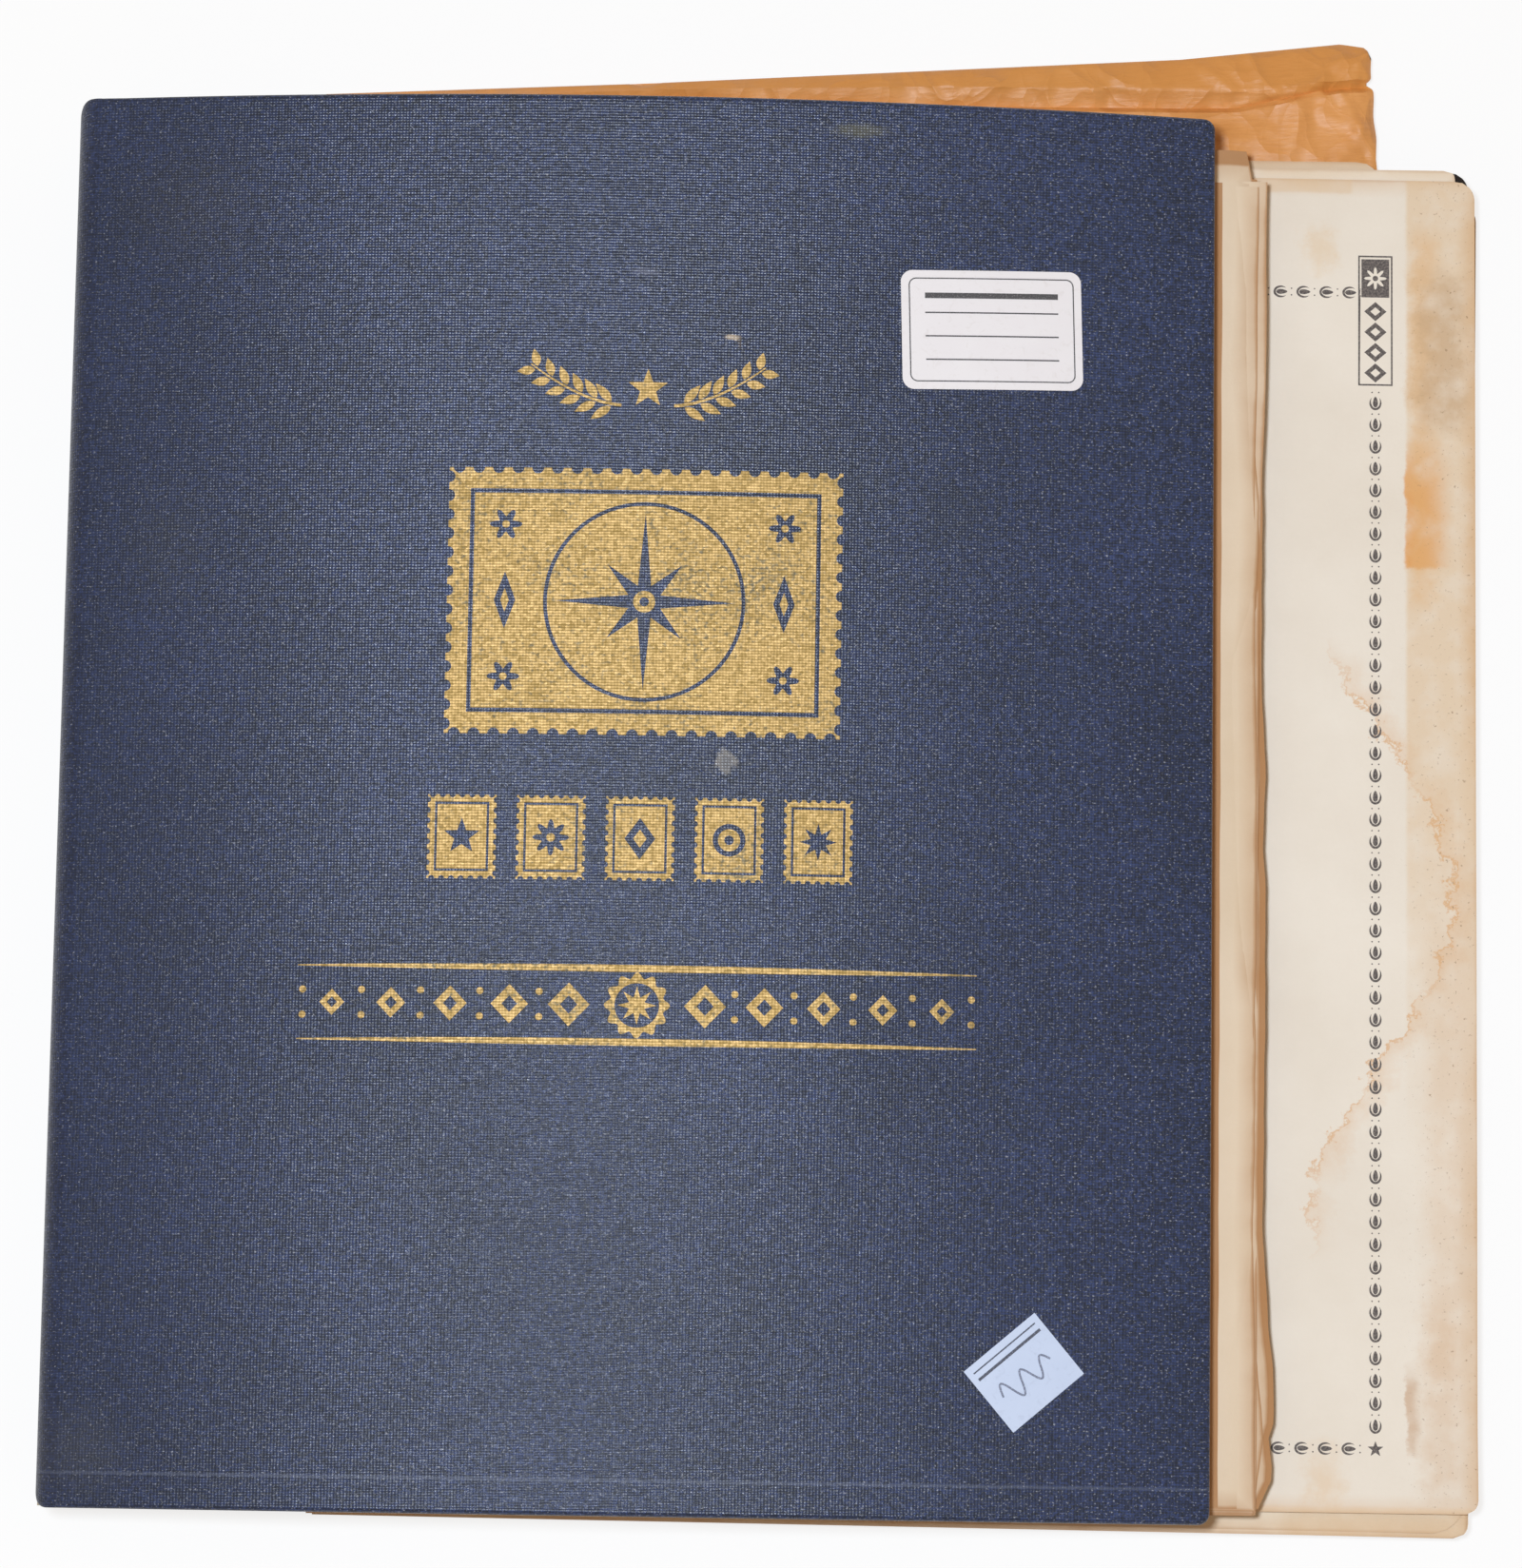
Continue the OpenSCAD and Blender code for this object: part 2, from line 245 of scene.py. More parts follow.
def near_edge(tree, place, right, head):
    """Distance from the nearest of a sheet's fore-edge, head and tail, in millimetres."""
    across, up = node(tree, "SeparateXYZ", {0: place}).node.outputs[:2]
    fore = node(tree, "Math", {0: right, 1: across}, operation="SUBTRACT")
    top = node(tree, "Math", {0: head, 1: up}, operation="SUBTRACT")
    ends = node(tree, "Math", {0: up, 1: top}, operation="MINIMUM")
    return node(tree, "Math", {0: fore, 1: ends}, operation="MINIMUM")


def book_cloth(name, places, width, head=album_h):
    """Starch-filled book cloth: a hard, slightly glossy skin over threads, rubbed grey at its edges."""
    # the hollows of the weave hide part of the gloss
    made, tree, shader = finish_of(name, **{"IOR": 1.45, "Specular IOR Level": 0.38})
    place = places(tree)
    weave = cloth_weave(tree, place)
    cloud = node(tree, "TexNoise", {"Vector": place, "Scale": 0.016, "Detail": 5.0, "Roughness": 0.6})
    cloud = node(tree, "MapRange", {"Value": cloud, "From Min": 0.35, "From Max": 0.65})
    tones = {6: linear("#151D34"), 7: linear("#1D2641")}
    tone = node(tree, "Mix", {0: cloud, **tones}, data_type="RGBA", out=2)
    # each crossing of the threads took the filler a little differently, and a few stand out pale
    crossing = node(tree, "VectorMath", {0: place, 1: (1.35, 1.75, 1)}, operation="MULTIPLY")
    shade = node(tree, "TexVoronoi", {"Vector": crossing, "Scale": 1.0, "Randomness": 0.6}, out=1)
    shade = node(tree, "Mix", {0: 0.4, 2: shade, 3: weave}, data_type="FLOAT")
    depth = node(tree, "Math", {0: shade, 1: 2.0}, operation="POWER")
    depth = node(tree, "Math", {0: depth, 1: 4.0, 2: 0.2}, operation="MULTIPLY_ADD")
    base = node(tree, "VectorMath", {0: tone, "Scale": depth}, operation="SCALE")
    speck = node(tree, "TexNoise", {"Vector": crossing, "Scale": 1.3, "Detail": 1.0})
    bare = node(tree, "MapRange", {"Value": speck, "From Min": 0.62, "From Max": 0.76, "To Max": 0.7})
    base = node(tree, "Mix", {0: bare, 6: base, 7: linear("#A3A6B2")}, data_type="RGBA", out=2)
    edge = near_edge(tree, place, width, head)
    rub = node(tree, "TexNoise", {"Vector": place, "Scale": 0.3, "Detail": 6.0, "Roughness": 0.7})
    near = {"Value": edge, "From Min": -1.2, "From Max": 1.2, "To Min": 0.66, "To Max": 0.0}
    near = node(tree, "MapRange", near)
    worn = node(tree, "Math", {0: near, 1: rub}, operation="ADD")
    worn = node(tree, "MapRange", {"Value": worn, "From Min": 0.86, "From Max": 1.2, "To Max": 0.8})
    base = node(tree, "Mix", {0: worn, 6: base, 7: linear("#83838A")}, data_type="RGBA", out=2)
    tree.links.new(base, shader.inputs["Base Color"])
    gloss = node(tree, "MapRange", {"Value": shade, "To Min": 0.44, "To Max": 0.22})
    tree.links.new(gloss, shader.inputs["Roughness"])
    # under the threads the skin is crinkled where the cover has flexed
    flexed = node(tree, "VectorMath", {0: place, 1: (0.42, 0.95, 1)}, operation="MULTIPLY")
    crinkle = node(tree, "TexNoise", {"Vector": flexed, "Scale": 1.0, "Detail": 3.0, "Distortion": 0.6})
    relief = node(tree, "Math", {0: crinkle, 1: 1.6, 2: weave}, operation="MULTIPLY_ADD")
    bump = node(tree, "Bump", {"Height": relief, "Strength": 0.7, "Distance": 0.0001})
    tree.links.new(bump, shader.inputs["Normal"])
    return made


def plain_stock(name, places, tones, roughness):
    """Uncoated board or paper: cloudy tone, fine fibres and a few brown age spots."""
    made, tree, shader = finish_of(name, Roughness=roughness)
    place = places(tree)
    cloud = node(tree, "TexNoise", {"Vector": place, "Scale": 0.03, "Detail": 6.0, "Roughness": 0.6})
    fibre = node(tree, "TexNoise", {"Vector": place, "Scale": 1.2, "Detail": 4.0, "Distortion": 0.5})
    age = node(tree, "TexNoise", {"Vector": place, "Scale": 0.22, "Detail": 3.0})
    mixed = node(tree, "Mix", {0: 0.35, 2: cloud, 3: fibre}, data_type="FLOAT")
    tone = node(tree, "Mix", {0: mixed, 6: linear(tones[0]), 7: linear(tones[1])}, data_type="RGBA", out=2)
    foxing = node(tree, "MapRange", {"Value": age, "From Min": 0.66, "From Max": 0.76, "To Max": 0.5})
    colour = node(tree, "Mix", {0: foxing, 6: tone, 7: linear("#A67C4E")}, data_type="RGBA", out=2)
    tree.links.new(colour, shader.inputs["Base Color"])
    bump = node(tree, "Bump", {"Height": fibre, "Strength": 0.2, "Distance": 0.0001})
    tree.links.new(bump, shader.inputs["Normal"])
    return made


def dress(name, finish):
    """Gives a CAD node its material."""
    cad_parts[name].data.materials.clear()
    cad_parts[name].data.materials.append(finish)


board_finish = plain_stock("grey pulp board", own_places, ("#9C8F76", "#BDB096"), 0.9)
lining_finish = plain_stock("endpaper", own_places, ("#CFC1A1", "#E0D5BB"), 0.75)
dress("back_board", board_finish)
dress("back_lining", lining_finish)

back_start = case_x * (1 - math.pi / 2) - cloth_lap
back_cloth = book_cloth("navy book cloth, back cover", flat_places, back_w)
back_case = case_cloth("back_cover_cloth", back_line, back_w, back_start, back_cloth)
spot(case_x, 0, 0)
spot(0.3, 0, 0)
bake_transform(back_case)
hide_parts("back_cloth", "back_joint_cloth")

# ---------------------------------------------------------------------------
# Spine. A narrow strip of the same board under the cloth, as high as the
# block of leaves is thick. Its head and tail ends are rubbed round.

spine_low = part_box("spine_cloth")[0].z / MM
crown_x = 120.0
arch_r = 640.0
arch_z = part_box("front_cloth")[1].z / MM - arch_r
joint_slope = math.atan((crown_x - case_x) / math.sqrt(arch_r**2 - (case_x - crown_x) ** 2))
joint_turn = math.pi / 2 - joint_slope
joint_r = case_x / (1 - math.cos(joint_turn))


def arch_top(x, depth=0.0):
    """Height of the arched front cover at a depth below its outer face."""
    return arch_z + np.sqrt((arch_r - depth) ** 2 - (x - crown_x) ** 2)


joint_foot = arch_top(case_x) - joint_r * math.sin(joint_turn)

dress("spine_board", board_finish)
dress("spine_lining", lining_finish)


def spine_shell(finish):
    """Cloth round the spine's board, turned in at the head and the tail."""
    rim_r = 0.5
    half = [(turn_in, case_t), (8, case_t), (3, case_t), (1.2, case_t)]
    half += [(rim_r * (1 - math.sin(a)), case_t - rim_r * (1 - math.cos(a))) for a in quarter_turn]
    half += [(spine_round * (1 - math.cos(a)), spine_round * (1 - math.sin(a))) for a in quarter_turn]
    ys, xs = np.array(half).T
    middle = np.linspace(spine_round + 4, album_h - spine_round - 4, 40)
    ys = np.concatenate([ys, middle, album_h - ys[::-1]])
    xs = np.concatenate([xs, np.zeros(middle.size), xs[::-1]])
    z = np.linspace(spine_low - 0.1, joint_foot + 0.1, 9)
    path = np.concatenate([[0], np.cumsum(np.hypot(np.diff(xs), np.diff(ys)))])
    path += ys[len(half)] - path[len(half)]
    zz, xx = np.meshgrid(z, xs, indexing="ij")
    flat = np.stack(np.broadcast_arrays(-z[:, None] - 2, path[None, :]), -1)
    piece = build("spine_cloth_cover", [(spot(xx, np.broadcast_to(ys, xx.shape), zz), flat)], finish)
    thicken(piece)
    return piece


spine_cover = spine_shell(book_cloth("navy book cloth, spine", flat_places, 300.0))
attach(spine_cover, "spine")
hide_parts("spine_cloth")

# ---------------------------------------------------------------------------
# Binding. Two stiff cloth-covered strips, a stack of manila filler guards and
# the punched margins of the leaves are clamped on two brass screw posts.

strip_cloth = book_cloth("navy strip cloth", own_places, 1000.0, 1000.0)
dress("back_binding_strip", strip_cloth)
dress("front_binding_strip", strip_cloth)
dress("filler_guards", plain_stock("manila card", own_places, ("#BFA67A", "#D8C59C"), 0.7))


def dull_brass(name):
    """Turned brass gone dull: a brown film in patches over a warm yellow metal."""
    made, tree, shader = finish_of(name, Metallic=1.0)
    place = own_places(tree)
    film = node(tree, "TexNoise", {"Vector": place, "Scale": 0.6, "Detail": 5.0})
    tone = {0: film, 6: linear("#8A6A35"), 7: linear("#C8A45C")}
    tone = node(tree, "Mix", tone, data_type="RGBA", out=2)
    tree.links.new(tone, shader.inputs["Base Color"])
    rough = node(tree, "MapRange", {"Value": film, "To Min": 0.55, "To Max": 0.28})
    tree.links.new(rough, shader.inputs["Roughness"])
    return made


brass = dull_brass("dull brass")
dress("post_barrels", brass)
dress("post_screws", brass)

# ---------------------------------------------------------------------------
# Bound leaves. Six sections of album leaves, each about twenty leaves that
# stand a little apart over their mounted stamps. They bend where the binding
# strips end, and their fore-edges are wavy, torn and browned. Two leaves have
# brown strips past their edges that are painted shadows of the cover and a torn leaf.

clamp_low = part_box("leaf_margins")[0].z / MM
clamp_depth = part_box("leaf_margins")[1].z / MM - clamp_low
leaf_h = (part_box("leaf_section_1")[1].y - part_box("leaf_section_1")[0].y) / MM
hinge_x = (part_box("leaf_section_1")[0].x - spine_x) / MM
margin_x = (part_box("leaf_margins")[0].x - spine_x) / MM
fore_far = (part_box("leaf_section_6")[1].x - spine_x) / MM
lift_x = 200.0
fore_lift = 6.5
swell_w = 60.0
under_cover = 4.1
section_count = 6
sheets_per_section = 9
paper_t = 0.14
bend_x = hinge_x - 1.6
bend_w = 8.0


def leaf_height(x, share):
    """Height of the leaf that lies a share of the way up the block."""
    x = np.maximum(x, hinge_x)
    drop = arch_top(hinge_x, under_cover) - clamp_low - clamp_depth
    low = clamp_low + fore_lift * ease((x - lift_x) / (fore_far - lift_x))
    high = arch_top(x, under_cover) - drop * (1 - ease((x - hinge_x) / swell_w))
    return low + share * (high - low)


def slab(points, flat, thickness):
    """Both faces and the rim of a sheet whose upper face is given, as lattices."""
    up = np.cross(np.gradient(points, axis=1), np.gradient(points, axis=0))
    up /= np.maximum(np.linalg.norm(up, axis=-1, keepdims=True), 1e-12)
    under = points - up * thickness * MM
    rims = [(points[0], under[0], flat[0]), (points[:, -1], under[:, -1], flat[:, -1])]
    rims += [(points[-1], under[-1], flat[-1]), (points[:, 0], under[:, 0], flat[:, 0])]
    patches = [(points, flat), (under, flat)]
    return patches + [(np.stack([top, low]), np.stack([place, place])) for top, low, place in rims]


def album_paper(name, tones, edge_tone, right, head, rim_strength=0.3):
    """Uncoated album paper: cream, cloudy, browned from its edges inwards, with cockles and fibres."""
    made, tree, shader = finish_of(name, Roughness=0.72)
    place = flat_places(tree)
    cloud = node(tree, "TexNoise", {"Vector": place, "Scale": 0.022, "Detail": 6.0, "Roughness": 0.62})
    cloud = node(tree, "MapRange", {"Value": cloud, "From Min": 0.3, "From Max": 0.7})
    tone = node(tree, "Mix", {0: cloud, 6: linear(tones[0]), 7: linear(tones[1])}, data_type="RGBA", out=2)
    edge = near_edge(tree, place, right, head)
    near = node(tree, "MapRange", {"Value": edge, "From Max": 4.0, "To Min": 0.9, "To Max": 0.0})
    blot = node(tree, "TexNoise", {"Vector": place, "Scale": 0.07, "Detail": 5.0})
    toned = node(tree, "Math", {0: near, 1: blot}, operation="MULTIPLY")
    colour = node(tree, "Mix", {0: toned, 6: tone, 7: linear(edge_tone)}, data_type="RGBA", out=2)
    brown = node(tree, "Math", {0: blot, 1: 1.4}, operation="MULTIPLY")
    rim = node(tree, "MapRange", {"Value": edge, "From Max": brown, "To Min": rim_strength, "To Max": 0.0})
    colour = node(tree, "Mix", {0: rim, 6: colour, 7: linear("#A9733D")}, data_type="RGBA", out=2)
    tree.links.new(colour, shader.inputs["Base Color"])
    fibre = node(tree, "TexNoise", {"Vector": place, "Scale": 1.3, "Detail": 4.0})
    cockle = node(tree, "TexNoise", {"Vector": place, "Scale": 0.06, "Detail": 2.0})
    relief = node(tree, "Mix", {0: 0.12, 2: cockle, 3: fibre}, data_type="FLOAT")
    bump = node(tree, "Bump", {"Height": relief, "Strength": 0.5, "Distance": 0.0008})
    tree.links.new(bump, shader.inputs["Normal"])
    return made


# the brown rim is strong here: partly the paper's own browning, partly painted shadow where the leaves'
# edges step down over the leaves beneath
leaf_finish = album_paper("browned album paper", ("#DDC6A8", "#E6D2B8"), "#B48352", fore_far, leaf_h, 0.8)

# fore-edges of the leaves that show past the cover, as heights from the tail and reaches from the spine
torn_edge = [
    (3, 251.5), (18, 253.5), (40, 251.5), (60, 251), (85, 251.5), (104, 251.5), (116, 250.5),
    (133, 251), (142, 251.5), (158, 250.5), (180, 250.5), (200, 251.5), (215, 252), (226, 251),
    (240, 250), (246, 249.5), (262, 250.5), (285, 251),
]
ragged_edge = [
    (3, 251), (6, 252.5), (10, 254.5), (18, 253.5), (20, 254.5), (32, 254.5), (40, 253.5), (60, 252),
    (110, 252.5), (133, 252.5), (142, 252), (158, 252.5), (180, 251.5), (242, 251.5), (263, 252),
    (273, 252), (285, 250.5), (292, 249),
]
# the edge of a leaf that shows 1.2 mm past the ragged one, brown there as a painted shadow
shadow_strip_edge = [(y, x + 1.2) for y, x in ragged_edge]
clean_edge = [(3, 252), (200, 252), (246, 253.5), (285, 253.5)]
# the line beyond which the torn leaves are bent down
torn_ridge = [
    (40, 247), (60, 250.5), (95, 251), (127, 247), (180, 245), (200, 251), (225, 249), (262, 248),
    (284, 245.5),
]

# columns of a leaf's lattice: close-set where it bends at the strips and along its fore-edge
stations = [[margin_x, 20], np.linspace(28, 46, 10), np.linspace(54, 236, 20), np.linspace(239, 256, 12)]
stations = np.concatenate(stations)
rng = np.random.default_rng(7)


def leaf(share, tail, head, reach, ridge=None, browned=0.0):
    """One bound leaf: reach gives its fore-edge at each height, and beyond its ridge it is bent down.

    Its last strip, browned millimetres wide, is coloured as brown as the edge itself: a painted shadow of
    what lies over it.
    """
    ys = np.linspace(tail, head, 97 if ridge else 33)
    x = stations[None, :] * np.ones((ys.size, 1))
    x = margin_x + (x - margin_x) * ((reach(ys) - margin_x) / (stations[-1] - margin_x))[:, None]
    y = ys[:, None] * np.ones_like(x)
    wave = 0.18 * np.sin(y / 37 + 3 * share) * np.sin(x / 29 + share)
    wave += 0.14 * np.sin(y / 13 + 9 * share) * ease((x - 180) / 70)
    z = leaf_height(x, share) - 0.3 + wave * ease((x - 60) / 180)
    if ridge:
        beyond = np.maximum(x - np.interp(ys, *np.array(ridge).T)[:, None], 0)
        z -= 0.22 * np.sqrt(beyond**2 + 0.05) - 0.05
    flat_x = x + (fore_far + browned - reach(ys))[:, None]
    return slab(spot(x, y, z), np.stack([flat_x, y - tail], -1), paper_t)


def along(points):
    """A fore-edge through given points, with fine tears between them."""
    ys, xs = np.array(points).T
    return lambda y: np.interp(y, ys, xs) + 0.06 * np.sin(y * 1.9) + 0.05 * np.sin(y * 3.7 + 1)


def cut_edge(far):
    """A cut fore-edge that has gone slightly wavy."""
    phase = rng.uniform(0, 6)
    return lambda y: far + 0.3 * np.sin(y / 21 + phase) + 0.12 * np.sin(y / 6.5 + 2 * phase)


# the leaves that show past the cover have edges of their own, and the others are cut evenly
for number in range(1, section_count + 1):
    section = f"leaf_section_{number}"
    tail = (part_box(section)[0].y - tail_y) / MM
    patches = []
    for k in range(sheets_per_section):
        share = 1 - (number - 1 + (k + 0.5) / sheets_per_section) / section_count
        shift = tail + rng.uniform(-0.7, 0.7)
        if (number, k) == (4, 0):
            patches += leaf(share, 3.4, 284.8, along(torn_edge), torn_ridge)
        elif (number, k) == (4, 2):
            patches += leaf(share, 3.2, 291.9, along(ragged_edge), torn_ridge)
        # painted shadow of the ragged leaf: a leaf whose last 1.2 mm past it is all brown
        elif (number, k) == (4, 3):
            patches += leaf(share, 3.4, 286.0, along(shadow_strip_edge), torn_ridge, browned=1.2)
        # painted shadow of the cover's fore-edge: a leaf under the cover that shows 2.3 mm past it, all
        # brown
        elif (number, k) == (3, sheets_per_section - 1):
            patches += leaf(share, 3.6, 284.6, along([(0, 243.8), (300, 243.8)]), browned=2.4)
        elif (number, k) == (4, 5):
            patches += leaf(share, 2.6, 285.3, along(clean_edge))
        elif number <= 3:
            patches += leaf(share, shift, shift + leaf_h, cut_edge(rng.uniform(238.2, 240.6)))
        else:
            patches += leaf(share, 2.0 + rng.uniform(0, 1), 284.0, cut_edge(rng.uniform(250.6, 251.9)))
    piece = build(f"bound_leaves_{number}", patches, leaf_finish)
    bend_start, bend_end = spot(bend_x, 0, 0), spot(bend_x + bend_w, 0, 0)
    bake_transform(piece)
    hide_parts(section, *(["leaf_margins"] if number == 1 else []))

# ---------------------------------------------------------------------------
# Loose leaves. Single leaves and a bundle of about thirty lie loose on the
# back cover and stick out past its fore-edge. They are limp, so their free
# ends sag a little and their corners are bent and worn round.

loose_w = 242.0
sag_depth = 0.3
sag_run = 110.0
loose_t = 0.2
loose_free = 60
corner_band = 8


class Sheet:
    """A limp sheet on the album: where its tail-right corner is, its turn in degrees and its height."""

    def __init__(self, right, tail, turn, height, curl=0.0, cockle=0.1):
        self.right, self.tail, self.turn, self.height = right, tail, math.radians(turn), height
        self.curl, self.cockle = curl, cockle

    def at(self, u, v, lift=0.0):
        """Point on the sheet, u from its back edge and v from its tail."""
        x = self.right + (u - loose_w) * math.cos(self.turn) - v * math.sin(self.turn)
        y = self.tail + (u - loose_w) * math.sin(self.turn) + v * math.cos(self.turn)
        free = ease((x - back_w + 6) / 20)
        wave = np.sin(y / 23 + self.height) * np.sin(x / 17)
        wave += 0.6 * np.sin(y / 9.5 + 2 * self.height) * ease((x - 262) / 35)
        corner = ease((u - loose_w + 26) / 26) * ease((20 - v) / 20)
        sag = sag_depth * ease((x - back_w) / sag_run)
        return spot(x, y, self.height - sag + self.cockle * free * wave + self.curl * corner + lift)


def rounded_corners(uu, vv, tail_r, head_r):
    """Draws a lattice in to the round corners at a sheet's fore-edge."""
    for radius, corner, side in ((tail_r, 0.0, 1), (head_r, leaf_h, -1)):
        cu, cv = loose_w - radius, corner + side * radius
        du, dv = uu - cu, side * (cv - vv)
        inside = (du > 0) & (dv > 0)
        scale = np.where(inside, np.maximum(du, dv) / np.maximum(np.hypot(du, dv), 1e-6), 1.0)
        uu, vv = np.where(inside, cu + du * scale, uu), np.where(inside, cv - side * dv * scale, vv)
    return uu, vv


def sheet_patches(sheet, tail_r, head_r, rows, cols):
    """Faces and rims of a limp sheet; its lattice is close-set where it is free and at its corners."""
    held = loose_w - loose_free
    low, high = corner_band, leaf_h - corner_band
    u = np.concatenate([np.linspace(0, held, cols // 2), np.linspace(held, loose_w, cols)[1:]])
    v = np.concatenate([np.linspace(0, low, 9), np.linspace(low, high, rows)[1:-1]])
    v = np.concatenate([v, np.linspace(high, leaf_h, 9)])
    uu, vv = rounded_corners(*np.meshgrid(u, v), tail_r, head_r)
    return slab(sheet.at(uu, vv), np.stack([uu, vv], -1), loose_t)


def stained_paper(name, tones, edge_tone, stains_and_shades):
    """Album paper with water stains and patches of painted shade; each has its sides, their fades,
    raggedness, strength and colour.
    """
    made = album_paper(name, tones, edge_tone, loose_w, leaf_h)
    tree = made.node_tree
    shader = next(n for n in tree.nodes if n.type == "BSDF_PRINCIPLED")
    colour = shader.inputs["Base Color"].links[0].from_socket
    place = flat_places(tree)
    ragged = {"Vector": place, "Scale": 0.14, "Detail": 6.0, "Roughness": 0.7}
    ragged = node(tree, "TexNoise", ragged, out=1)
    blotch = node(tree, "TexNoise", {"Vector": place, "Scale": 0.16, "Detail": 4.0})
    shift = node(tree, "VectorMath", {0: ragged, 1: (0.5, 0.5, 0.5)}, operation="SUBTRACT")
    for sides, fades, ragged_by, strength, tone in stains_and_shades:
        far = node(tree, "VectorMath", {0: shift, "Scale": ragged_by}, operation="SCALE")
        moved = node(tree, "VectorMath", {0: place, 1: far}, operation="ADD")
        across, up = node(tree, "SeparateXYZ", {0: moved}).node.outputs[:2]
        mask = strength
        for axis, side, fade in zip((across, across, up, up), sides, fades):
            span = {"Value": axis, "From Min": side, "From Max": side + fade}
            part = node(tree, "MapRange", span, interpolation_type="SMOOTHSTEP")
            mask = node(tree, "Math", {0: mask, 1: part}, operation="MULTIPLY")
        uneven = {"Value": blotch, "From Min": 0.28, "From Max": 0.55, "To Min": 0.45}
        uneven = node(tree, "MapRange", uneven)
        mask = node(tree, "Math", {0: mask, 1: uneven}, operation="MULTIPLY")
        colour = node(tree, "Mix", {0: mask, 6: colour, 7: linear(tone)}, data_type="RGBA", out=2)
    tree.links.new(colour, shader.inputs["Base Color"])
    return made, tree, shader, colour, place


margin_u = 226.6
# each stain or patch of painted shade: left, right, low and high side, how far each side fades (negative to
# the left or down), raggedness, strength and colour
page_stains_and_shade = [
    ((margin_u, 270, 60, 310), (1.2, -1, 110, -1), 0.8, 0.62, "#DCBE97"),
    ((margin_u, 238, 200.5, 232), (0.8, -8, 1.0, -16), 3.0, 0.95, "#DD9C55"),
    ((margin_u, 236, 190, 278), (3, -6, 6, -8), 7.0, 0.5, "#DDAE74"),
    ((227, 243, 228, 268), (6, -6, 8, -8), 12.0, 0.6, "#BE9A70"),
    ((238, 246, 150, 284), (4, -1, 30, -8), 4.0, 0.5, "#CFA678"),
    ((margin_u, 230.5, 11, 32), (0.8, -2.5, 2.5, -6), 5.0, 0.6, "#C0956B"),
    # painted shade where the page's tail-right corner curls up
    ((228, 241, 0, 52), (5, -6, 8, -20), 9.0, 0.42, "#CDA478"),
    ((228, 243, 20, 150), (7, -6, 16, -50), 7.0, 0.36, "#D5B088"),
    # painted shade along the lower right edge, where the page curls
    ((236, 246, -4, 120), (5, -1, 2, -60), 5.0, 0.4, "#CFAA80"),
    ((180, 216, 282.4, 290), (16, -1, 0.8, -1), 1.0, 0.55, "#DCBE98"),
    ((204, 214, 264, 278), (4, -5, 5, -5), 14.0, 0.35, "#DDB77F"),
    ((204, 216, 1, 17), (5, -6, 4, -8), 14.0, 0.4, "#DDB787"),
    ((-20, 260, -3, 1.8), (1, -1, 1, -1.2), 0.8, 0.5, "#DDBD95"),
]
page_finish, tree, shader, colour, place = stained_paper(
    "printed album page", ("#E3D8C8", "#ECE3D5"), "#D2A878", page_stains_and_shade
)


def add_tide_line(tree, shader, colour, place):
    """The brown line that a spill left as it dried, with a pale brown band inside it."""
    bend_v, bend_run, bend_u, bend_reach = 95.0, 22.3, 222.0, 15.0
    across, up = node(tree, "SeparateXYZ", {0: place}).node.outputs[:2]
    phase = {"Value": up, "From Min": bend_v, "From Max": bend_v + bend_run}
    phase = node(tree, "MapRange", phase, clamp=False)
    turn = node(tree, "Math", {0: phase}, operation="SINE")
    middle = node(tree, "Math", {0: turn, 1: bend_reach, 2: bend_u}, operation="MULTIPLY_ADD")
    ragged = node(tree, "TexNoise", {"Vector": place, "Scale": 0.13, "Detail": 6.0, "Roughness": 0.7})
    wander = node(tree, "Math", {0: ragged, 1: 18.0, 2: -9.0}, operation="MULTIPLY_ADD")
    line = node(tree, "Math", {0: middle, 1: wander}, operation="ADD")
    off = node(tree, "Math", {0: across, 1: line}, operation="SUBTRACT")
    far = node(tree, "Math", {0: off}, operation="ABSOLUTE")
    thin = node(tree, "MapRange", {"Value": far, "From Max": 0.8, "To Min": 0.75, "To Max": 0.0})
    inner = node(tree, "MapRange", {"Value": off, "From Max": 6.0, "To Min": 0.3, "To Max": 0.0})
    outside = node(tree, "Math", {0: off, 1: 0.0}, operation="GREATER_THAN")
    band = node(tree, "Math", {0: inner, 1: outside}, operation="MULTIPLY")
    both = node(tree, "Math", {0: thin, 1: band}, operation="MAXIMUM")
    for start, end in ((52.0, 66.0), (186.0, 172.0)):
        fade = node(tree, "MapRange", {"Value": up, "From Min": start, "From Max": end})
        both = node(tree, "Math", {0: both, 1: fade}, operation="MULTIPLY")
    patchy = node(tree, "TexNoise", {"Vector": place, "Scale": 0.06, "Detail": 2.0})
    patchy = node(tree, "MapRange", {"Value": patchy, "From Min": 0.28, "From Max": 0.44})
    mask = node(tree, "Math", {0: both, 1: patchy}, operation="MULTIPLY")
    colour = node(tree, "Mix", {0: mask, 6: colour, 7: linear("#D59E5E")}, data_type="RGBA", out=2)
    speck = node(tree, "TexNoise", {"Vector": place, "Scale": 1.1, "Detail": 3.0, "Roughness": 0.7})
    dots = node(tree, "MapRange", {"Value": speck, "From Min": 0.62, "From Max": 0.71, "To Max": 0.7})
    near = node(tree, "MapRange", {"Value": across, "From Min": 225.0, "From Max": 232.0})
    dots = node(tree, "Math", {0: dots, 1: near}, operation="MULTIPLY")
    colour = node(tree, "Mix", {0: dots, 6: colour, 7: linear("#8D6C4A")}, data_type="RGBA", out=2)
    tree.links.new(colour, shader.inputs["Base Color"])


